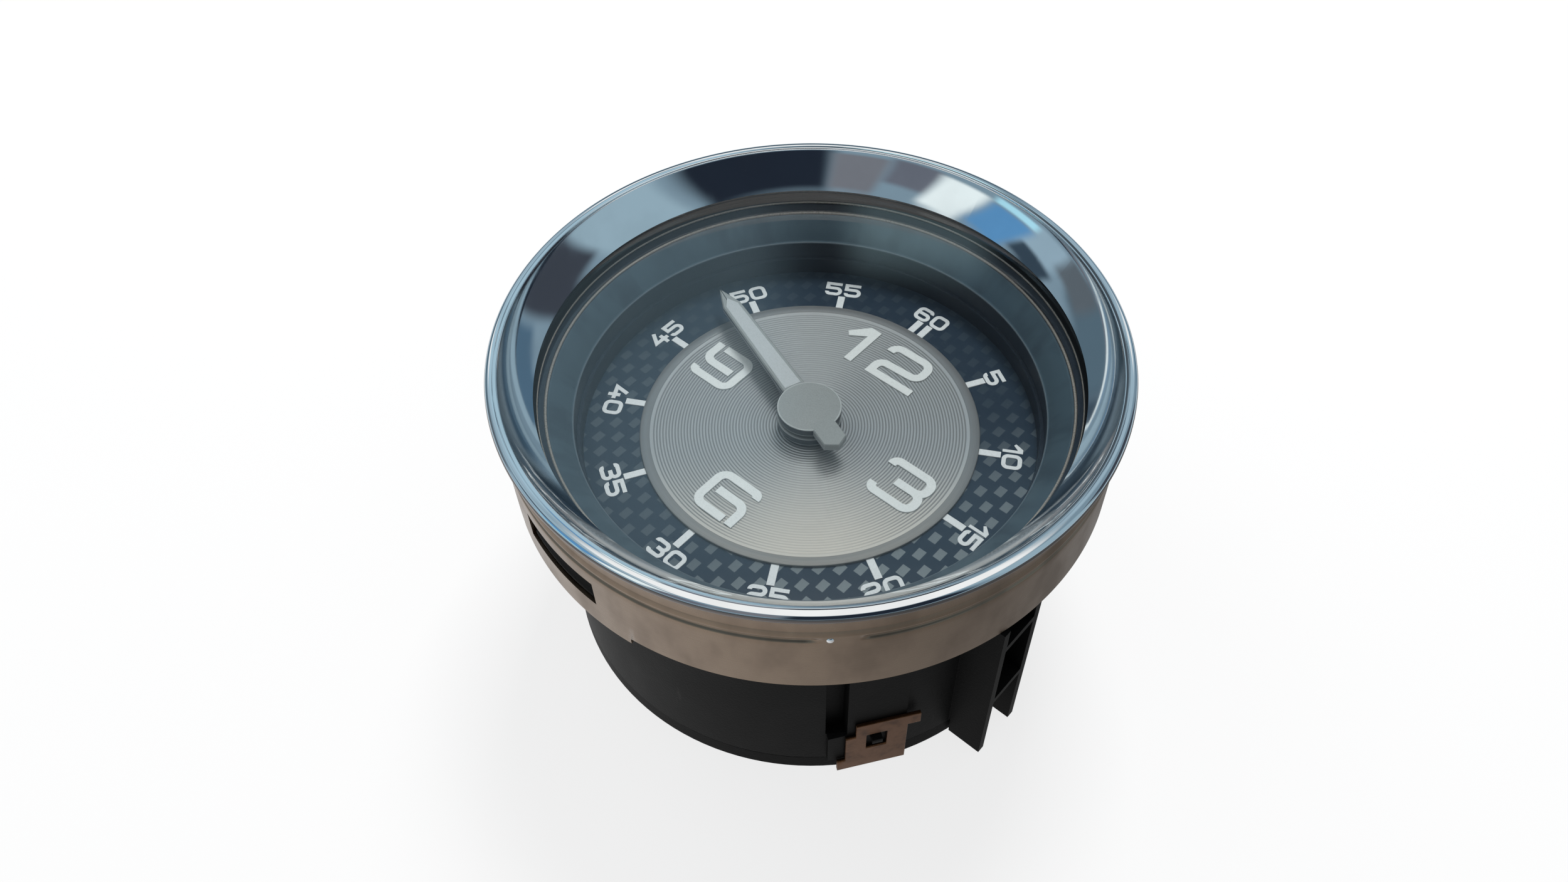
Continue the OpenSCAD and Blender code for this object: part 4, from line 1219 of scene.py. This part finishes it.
@dataclass
class Dial:
    """Printed dial, turned disc, five-minute marks, and large and small numerals."""

    dial_z: float = 22.3
    hole_r: float = 2.4
    disc_r: float = 17.0
    disc_z: float = 22.5
    border_w: float = 1.0
    border_h: float = 0.06
    groove: float = 0.305
    groove_d: float = 0.05
    flat_w: float = 0.25
    mark: Point3 = (2.4, 0.76, 0.08)
    twin: float = 1.2
    shift: Point2 = (0.14, -0.16)
    relief: float = 0.1
    stroke: float = 0.94
    small: float = 0.43
    small_r: float = 20.22
    gap: float = 0.23
    small_h: float = 0.05
    figure_half: Point2 = (0.72, 0.79)
    figure_r: float = 0.45
    figure_w: float = 1.86
    one_w: float = 1.16
    one_scale: float = 0.377
    one_middle: Point2 = (-3.905, 11.985)

    def disc(self) -> None:
        """Builds the disc with its cut grooves and flat border."""
        inner = self.disc_r - self.border_w
        cut_r = inner - self.flat_w
        border_z = self.disc_z + self.border_h
        profile = [(self.hole_r, self.dial_z), (self.hole_r, self.disc_z)]
        count = int((cut_r - self.hole_r - 0.1) / self.groove)
        first = cut_r - count * self.groove
        cut = ((0.0, 0.0), (0.2, 0.35), (0.38, 0.9), (0.5, 1.0), (0.62, 0.9), (0.8, 0.35))
        for i in range(count):
            for share, deep in cut:
                profile.append((first + (i + share) * self.groove, self.disc_z - self.groove_d * deep))
        profile += [(cut_r, self.disc_z), (inner - 0.04, self.disc_z), (inner, self.disc_z + 0.03),
                    (inner + 0.04, border_z), (self.disc_r - 0.06, border_z),
                    (self.disc_r, self.disc_z), (self.disc_r, self.dial_z)]
        shape = Shape()
        shape.lathe(profile, ROUND)
        shape.piece("dial_disc_turned", [Look.DISC], "case", "turned_disc", ["dial_disc"], 60.0)

    def marks(self) -> None:
        """Builds the twelve marks, with a pair at twelve."""
        shape = Shape()
        long, wide, high = self.mark
        for hour in range(12):
            for shift in ((-self.twin / 2, self.twin / 2) if hour == 0 else (0.0,)):
                turn = Matrix.Rotation(math.radians(90 - 30 * hour), 2)
                places = (Vector((self.disc_r - 0.3 + x, shift)) for x in (0.0, long))
                ends = [turn @ place + Vector(self.shift) for place in places]
                shape.stroke([(p.x, p.y) for p in ends], wide, self.dial_z, self.dial_z + high, 0.03)
        shape.piece("hour_marks_raised", [Look.MARKS], "case", "white_print", ["hour_marks"])

    @staticmethod
    def strokes() -> dict[str, list[tuple[list[Point2], list[float]]]]:
        """Gives the corners and corner radii of each large numeral's strokes, in place on the dial.

        Returns:
            For each numeral, its strokes as corners and radii.
        """
        r = 0.95
        nine = [([(-14.28, 2.5), (-14.28, -0.11), (-10.67, -0.11)], [0, r, 0]),
                ([(-13.44, 2.17), (-9.73, 2.17), (-9.73, -2.06), (-14.25, -2.06), (-14.25, -1.45)],
                 [0, r, r, 0.5, 0])]
        six = [([(-12.01 - x, -11.995 - y) for x, y in line], radii) for line, radii in nine]
        three = [([(9.39, 1.39), (9.39, 2.17), (14.11, 2.17), (14.11, 0.0), (11.0, 0.0)],
                  [0, 0.6, r, r, 0]),
                 ([(12.4, 0.0), (14.11, 0.0), (14.11, -2.17), (9.39, -2.17), (9.39, -1.39)],
                  [0, r, r, 0.6, 0])]
        two = [([(-0.09, 13.17), (-0.09, 14.17), (4.61, 14.17), (4.61, 11.72), (-0.09, 11.5),
                 (-0.09, 9.83), (5.17, 9.83)], [0, r, r, r, r, 0, 0])]
        return {"2": two, "3": three, "6": six, "9": nine}

    ONE = ((-2.37, 14.64), (-3.75, 14.64), (-5.44, 12.73), (-4.94, 12.17), (-3.31, 13.30),
           (-3.31, 9.33), (-2.37, 9.33))

    def numerals(self) -> None:
        """Builds the four large numerals that stand on the disc."""
        high = self.disc_z + self.relief
        low = self.disc_z - self.groove_d
        one = Shape()
        one.slab(self.ONE, low, high, 0.04)
        for figure, strokes in self.strokes().items():
            shape = Shape()
            for i, (line, radii) in enumerate(strokes):
                shape.stroke(rounded(line, radii), self.stroke, low, high - 0.004 * i, 0.04)
            if figure == "2":
                shape.join(one)
            name = "numeral_twelve" if figure == "2" else f"numeral_{figure}"
            shape.piece(name, [Look.NUMERALS], "case", "white_print")

    def glyph(self, figure: str) -> tuple[Shape, float]:
        """Builds one small figure about its own centre.

        Args:
            figure: The figure.

        Returns:
            Its shape and width.
        """
        low, high = self.dial_z, self.dial_z + self.small_h
        w, h = self.figure_half
        r = self.figure_r
        shape = Shape()
        if figure == "1":
            mid_x, mid_y = self.one_middle
            outline = [((x - mid_x) * self.one_scale, (y - mid_y) * self.one_scale) for x, y in self.ONE]
            shape.slab(outline, low, high, 0.015)
            return shape, self.one_w
        lines = {
            "0": [([(0.0, h), (-w, h), (-w, -h), (w, -h), (w, h), (0.0, h)], [0, r, r, r, r, 0])],
            "2": [([(-w, 0.42), (-w, h), (w, h), (w, 0.0), (-w, -0.04), (-w, -h), (w + 0.19, -h)],
                   [0, r, r, r, r, 0, 0])],
            "3": [([(-w, 0.5), (-w, h), (w, h), (w, 0.0), (-0.2, 0.0)], [0, r / 2, r, r, 0]),
                  ([(0.2, 0.0), (w, 0.0), (w, -h), (-w, -h), (-w, -0.5)], [0, r, r, r / 2, 0])],
            "4": [([(0.05, h + 0.19), (-w, -0.3), (w + 0.19, -0.3)], [0, 0, 0]),
                  ([(0.36, 0.3), (0.36, -h - 0.19)], [0, 0])],
            "5": [([(w + 0.1, h), (-w, h), (-w, 0.12), (w, 0.12), (w, -h), (-w, -h), (-w, -0.45)],
                   [0, 0, 0, r, r, r, 0])],
            "6": [([(w, 0.45), (w, h), (-w, h), (-w, -h), (w, -h), (w, 0.06), (-w + 0.2, 0.06)],
                   [0, r, r, r, r, r, 0])],
        }
        for i, (line, radii) in enumerate(lines[figure]):
            path = rounded(line, radii)
            loop = figure == "0"
            shape.stroke(path[:-1] if loop else path, self.small, low, high - 0.002 * i, 0.015, loop)
        return shape, self.figure_w

    def minutes(self) -> None:
        """Builds the small five-minute numerals on the dial."""
        for minute in range(5, 65, 5):
            whole = Shape()
            made = [self.glyph(figure) for figure in str(minute)]
            across = -(sum(width for _, width in made) + self.gap * (len(made) - 1)) / 2
            az = 90 - 6 * minute
            turn = az - 90 + (180 if 20 <= minute <= 40 else 0)
            middle = Vector(polar(self.small_r, az)) + Vector(self.shift)
            spin = Matrix.Rotation(math.radians(turn), 2)
            for shape, width in made:
                at = across + width / 2
                across += width + self.gap

                def laid(p: Point3) -> Point3:
                    """Lays a point of the figure in its place on the dial."""
                    v = spin @ Vector((p[0] + at, p[1]))
                    return middle[0] + v.x, middle[1] + v.y, p[2]

                whole.join(shape.moved(laid))
            whole.piece(f"minute_numeral_{minute:02d}", [Look.MARKS], "case", "white_print")

    def build(self) -> None:
        """Builds everything on the dial."""
        self.disc()
        self.marks()
        self.numerals()
        self.minutes()


@dataclass
class Hand:
    """One hand: round hub, tapered blade with a pale core, and a tail with a blunt point."""

    name: str
    body: str
    azimuth: float
    length: float
    hub_z: float
    tail: bool
    hub_r: float = 3.2
    hub_h: float = 0.9
    blade_z: Point2 = (0.15, 0.75)
    half_w: Point2 = (1.25, 1.0)
    point: float = 2.7
    core_w: Point2 = (1.95, 1.5)
    core_margin: float = 0.1
    tail_end: float = 5.8
    tail_point: float = 0.75
    edge_w: float = 0.14
    edge_h: float = 0.1

    def outline(self) -> list[Point2]:
        """Gives the blade's outline, anticlockwise, along +X."""
        start = self.hub_r - 0.35
        shoulder = self.length - self.point
        root, end = self.half_w
        tip = self.length - 0.08
        return [(start, -root), (shoulder, -end), (tip, -0.07), (self.length, 0.0), (tip, 0.07),
                (shoulder, end), (start, root)]

    def tail_outline(self) -> list[Point2]:
        """Gives the tail's outline, anticlockwise."""
        corner = self.tail_end - self.tail_point
        half = self.half_w[0]
        return [(-2.0, half), (-corner, half), (-self.tail_end, 0.0), (-corner, -half), (-2.0, -half)]

    def build(self) -> None:
        """Builds the hand and its core."""
        shape = Shape()
        # The side skin is a painted shade on the walls of the hub and blade
        face, side, foot, edge = range(4)
        low, high = (self.hub_z + z for z in self.blade_z)
        top = self.hub_z + self.hub_h
        shape.slab(self.outline(), low, high, 0.12, face, side, foot)
        turn = spread(0, 360, 96)[:-1]
        # From sole to ankle the hub's foot takes a painted highlight, as the feet of blade and tail do
        centre, sole = (0.0, self.hub_z), (self.hub_r - 0.04, self.hub_z)
        ankle, brink = (self.hub_r, self.hub_z + FOOT_H), (self.hub_r, top - self.edge_h)
        crown = (self.hub_r - self.edge_w, top)
        for profile, skin in (([centre, sole], side), ([sole, ankle], foot), ([ankle, brink], side),
                              ([brink, (self.hub_r - 0.03, top - 0.04), crown], edge),
                              ([crown, (0.0, top)], face)):
            shape.lathe(profile, turn, skin, False)
        # The tail's walls take the edge skin, a painted highlight, as the hub's top bevel does
        if self.tail:
            shape.slab(self.tail_outline(), low, top + 0.004, 0.1, face, edge, foot)
        core = Shape()
        near, far = (width / 2 for width in self.core_w)
        end = self.length - self.point - self.core_margin
        start = self.hub_r + 0.05
        outline = [(start, -near), (end, -far), (end + 1.3, 0.0), (end, far), (start, near)]
        core.slab(outline, high - 0.2, high + 0.03, 0.1)
        spin = Matrix.Rotation(math.radians(self.azimuth), 2)

        def turned(p: Point3) -> Point3:
            """Turns a point to the hand's azimuth."""
            v = spin @ Vector(p[:2])
            return v.x, v.y, p[2]

        looks = [Look.HANDS, Look.HAND_SIDE, Look.INLAY, Look.HAND_EDGE]
        shape.moved(turned).piece(f"{self.name}_blade", looks, self.body, "hand_satin", [self.name])
        core.moved(turned).piece(f"{self.name}_core", [Look.INLAY], self.body, "inlay_white",
                                 [f"{self.name}_inlay"])


@dataclass
class Case:
    """Housing, rear cover, clips, screws and pins: the CAD forms with softened edges."""

    drum_r: float = 26.0
    cover_z: float = 2.0
    seam_h: float = 0.32
    seam_in: float = 0.12
    edges: tuple[tuple[str, str, float], ...] = (
        ("housing", "housing_black", 0.18),
        ("rear_cover", "housing_black", 0.3),
        ("retaining_clips", "clip_steel", 0.06),
        ("rear_cover_screws", "steel_screws", 0.08),
        ("connector_pins", "pin_plating", 0.06),
    )

    def open_seam(self, cover: bpy.types.Object) -> None:
        """Lowers the cover's upper rim, so that the seam under the drum shows as a fine groove.

        Args:
            cover: The cover's piece.
        """
        for vertex in cover.data.vertices:
            x, y, z = (c / MM for c in vertex.co)
            r = math.hypot(x, y)
            if abs(z - self.cover_z) < 0.01 and r > self.drum_r - 0.02:
                inward = (r - self.seam_in) / r
                vertex.co = (x * inward * MM, y * inward * MM, (z - self.seam_h) * MM)

    def build(self, nodes: dict[str, bpy.types.Object]) -> None:
        """Builds the forms of the case that show.

        Args:
            nodes: The CAD nodes.
        """
        for name, slot, width in self.edges:
            made = softened(nodes[name], slot, width)
            if name == "rear_cover":
                self.open_seam(made)


@dataclass
class Studio:
    """Camera, floor, sky and lamps.

    A panel of the sky has an azimuth, an elevation, half its width, half its height and the breadth of
    its soft edge, all in degrees, and the tone that is mirrored. Later panels lie over earlier ones.
    """

    camera_at: Point3 = (52.27, -60.63, 116.78)
    azimuth: float = 42.616
    elevation: float = 50.38
    roll: float = -1.468
    lens: float = 28.302
    aim_z: float = 25.0
    floor_drop: float = 0.02
    bright_floor: Colour = (0.84, 0.84, 0.84)
    dark_floor: Colour = (0.33, 0.33, 0.33)
    far_floor: Colour = tone(170, 189, 200)
    plain_sky: Colour = (0.38, 0.39, 0.40)
    low_sky: Colour = tone(126, 150, 165)
    high_sky: Colour = tone(252, 253, 252)
    panels: tuple[tuple[float, float, float, float, float, Colour], ...] = (
        (24, 28, 18, 28, 4, tone(152, 178, 192)),
        (-158, 48, 16, 14, 4, tone(157, 183, 197)),
        (-142, 60, 17, 9, 3, tone(164, 187, 199)),
        (166, 26, 16, 30, 4, tone(160, 185, 200)),
        (98, 32, 13, 26, 4, tone(160, 185, 200)),
        (-142, 18, 9, 14, 3, tone(150, 176, 192)),
        (151, 44, 18, 12, 3, tone(168, 198, 214)),
        (121, 44, 11, 6.5, 2.5, tone(70, 80, 88)),
        (124, 39, 4, 3, 1.5, tone(205, 244, 255)),
        (134, 28, 15, 4, 2, tone(250, 252, 252)),
        (131, 13, 20, 8, 3, tone(58, 76, 90)),
        (-30, 30, 28, 26, 5, tone(32, 40, 52)),
        (-68, 34, 10, 20, 3, tone(118, 122, 130)),
        (-88, 26, 9, 16, 3, tone(104, 110, 122)),
        (-106, 31, 9, 18, 3, tone(240, 252, 253)),
        (-126, 30, 9, 14, 3, tone(92, 148, 196)),
        (-126, 10, 9, 4, 2, tone(176, 230, 248)),
        (-145, 33, 9, 5, 2, tone(54, 70, 84)),
        (-176, 8, 17, 16, 4, tone(86, 108, 122)),
        (-159, 12, 9, 10, 3, tone(94, 104, 112)),
        (158, 2, 11, 12, 3, tone(64, 80, 94)),
        (56, 16, 14, 17, 3, tone(62, 68, 78)),
        (91, 2, 18, 13, 3, tone(80, 108, 130)),
        (95, 31, 3, 6, 1.5, tone(250, 253, 253)),
        (170, 31, 3, 6, 1.5, tone(250, 253, 253)),
    )

    def camera(self) -> None:
        """Places the camera at the photograph's viewing angle."""
        az, el, roll = (math.radians(a) for a in (self.azimuth, self.elevation, self.roll))
        back = Vector((math.sin(az) * math.cos(el), -math.cos(az) * math.cos(el), math.sin(el)))
        right = Vector((math.cos(az), math.sin(az), 0.0))
        up = back.cross(right)
        across = math.cos(roll) * right + math.sin(roll) * up
        high = -math.sin(roll) * right + math.cos(roll) * up
        data = bpy.data.cameras.new("camera")
        data.lens = self.lens
        data.sensor_width = 36.0
        data.clip_start = 0.005
        seer = bpy.data.objects.new("camera", data)
        frame = Matrix((across, high, back)).transposed().to_4x4()
        frame.translation = Vector(self.camera_at) * MM
        seer.matrix_world = frame
        bpy.context.scene.collection.objects.link(seer)
        bpy.context.scene.camera = seer

    def floor(self) -> None:
        """Lays a wide floor, white to the eye but for the shadow, and greyer in reflections."""
        shape = Shape()
        rings = [(r, -self.floor_drop) for r in (0.01, 60.0, 300.0, 3000.0)]
        shape.lathe(rings, spread(0, 360, 64)[:-1], 0, False)
        mesh = bpy.data.meshes.new("floor")
        points = [tuple(c * MM for c in p) for p in shape.points]
        mesh.from_pydata(points, [], [face for face, _ in shape.faces])
        made = bpy.data.objects.new("floor", mesh)
        bpy.context.scene.collection.objects.link(made)
        paint = Paint(bpy.data.materials.new("floor_pale"))
        matt = paint.principled(Base_Color=(0.95, 0.95, 0.95), Roughness=0.9, Specular_IOR_Level=0.1)
        eye = paint.ray("Camera")
        x, y, _ = paint.parts(paint.place())
        cx, cy = polar(1.0, self.azimuth)
        near = paint.mix((x * cx + y * cy).ease(-35.0, 40.0), self.bright_floor, self.dark_floor)
        away = paint.radius(x, y)
        mirrored = paint.mix(away.ease(60.0, 160.0), near, self.far_floor)
        colour = paint.mix(eye, mirrored, WHITE)
        glow = paint.node("ShaderNodeEmission", None, {"Color": colour, "Strength": 1.0})
        seen = (eye * away.ease(60.0, 400.0, 0.78, 1.0)).math("MAXIMUM", paint.ray("Glossy", "Transmission"))
        paint.surface(paint.node("ShaderNodeMixShader", None, {0: seen, 1: matt, 2: glow}))
        mesh.materials.append(paint.owner)

    def sky(self) -> None:
        """Makes a soft sky: white to the eye, with brighter and darker patches in reflections."""
        world = bpy.data.worlds.new("studio")
        bpy.context.scene.world = world
        paint = Paint(world)
        x, y, z = paint.parts(paint.node("ShaderNodeTexCoord", output="Generated"))
        mirrored = paint.mix(z.ease(0.82, 0.9), self.low_sky, self.high_sky)
        height = z.math("ARCSINE")
        for azimuth, elevation, half_wide, half_high, soft, colour in self.panels:
            cx, cy = polar(1.0, azimuth)
            across = abs((y * cx - x * cy).math("ARCTAN2", x * cx + y * cy))
            up = abs(height - math.radians(elevation))
            share = 1.0
            for off, half in ((across, half_wide), (up, half_high)):
                share = off.ease(math.radians(half - soft), math.radians(half + soft), 1.0, 0.0) * share
            mirrored = paint.mix(share, mirrored, colour)
        seen = paint.mix(paint.ray("Glossy", "Transmission"), self.plain_sky, mirrored)
        colour = paint.mix(paint.ray("Camera"), seen, WHITE)
        paint.surface(paint.node("ShaderNodeBackground", None, {"Color": colour, "Strength": 1.0}))

    def lamp(self, name: str, azimuth: float, elevation: float, distance: float, size: float, power: float,
             colour: Colour) -> None:
        """Hangs a square lamp that looks at the clock.

        Args:
            name: The lamp's name.
            azimuth: Its azimuth in degrees.
            elevation: Its elevation in degrees.
            distance: Its distance in millimetres.
            size: Its side in millimetres.
            power: Its power in watts.
            colour: Its colour.
        """
        data = bpy.data.lights.new(name, "AREA")
        data.size = size * MM
        data.energy = power
        data.color = colour
        flat, height = polar(distance, elevation)
        aim = Vector((0.0, 0.0, self.aim_z)) * MM
        made = bpy.data.objects.new(name, data)
        made.location = aim + Vector((*polar(flat, azimuth), height)) * MM
        made.visible_glossy = False
        made.visible_transmission = False
        made.rotation_euler = (aim - made.location).to_track_quat("-Z", "Y").to_euler()
        bpy.context.scene.collection.objects.link(made)

    def build(self) -> None:
        """Builds the whole studio."""
        bpy.context.scene.view_settings.view_transform = "Standard"
        self.camera()
        self.floor()
        self.sky()
        self.lamp("key", 116, 60, 600, 200, 2.6, WHITE)
        self.lamp("side", 186, 48, 600, 300, 0.5, (1.0, 0.99, 0.97))


def dress(frame: dict) -> None:
    """Gives every CAD node the finish of its material slot.

    Args:
        frame: What the frame's loader gave.
    """
    finishes = {look.value.name: look for look in Look}
    for name, piece in frame["nodes"].items():
        for i, old in enumerate(piece.data.materials):
            look = finishes.get(old.name.split(".")[0])
            LOG.info("%s: finish %s", name, old.name if look else f"none for {old.name}")
            if look:
                piece.data.materials[i] = look.material()


def main() -> None:
    """Builds the clock's pieces in order."""
    logging.basicConfig(level=logging.INFO, format="%(name)s %(message)s")
    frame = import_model()
    dress(frame)
    Studio().build()
    Bezel().build()
    Front().build(frame["nodes"])
    Dial().build()
    Hand("hour_hand", "hour_group", 155.9, 11.6, 23.06, False).build()
    Hand("minute_hand", "minute_group", 160.4, 19.4, 24.46, True).build()
    Case().build(frame["nodes"])


if __name__ == "__main__":
    main()
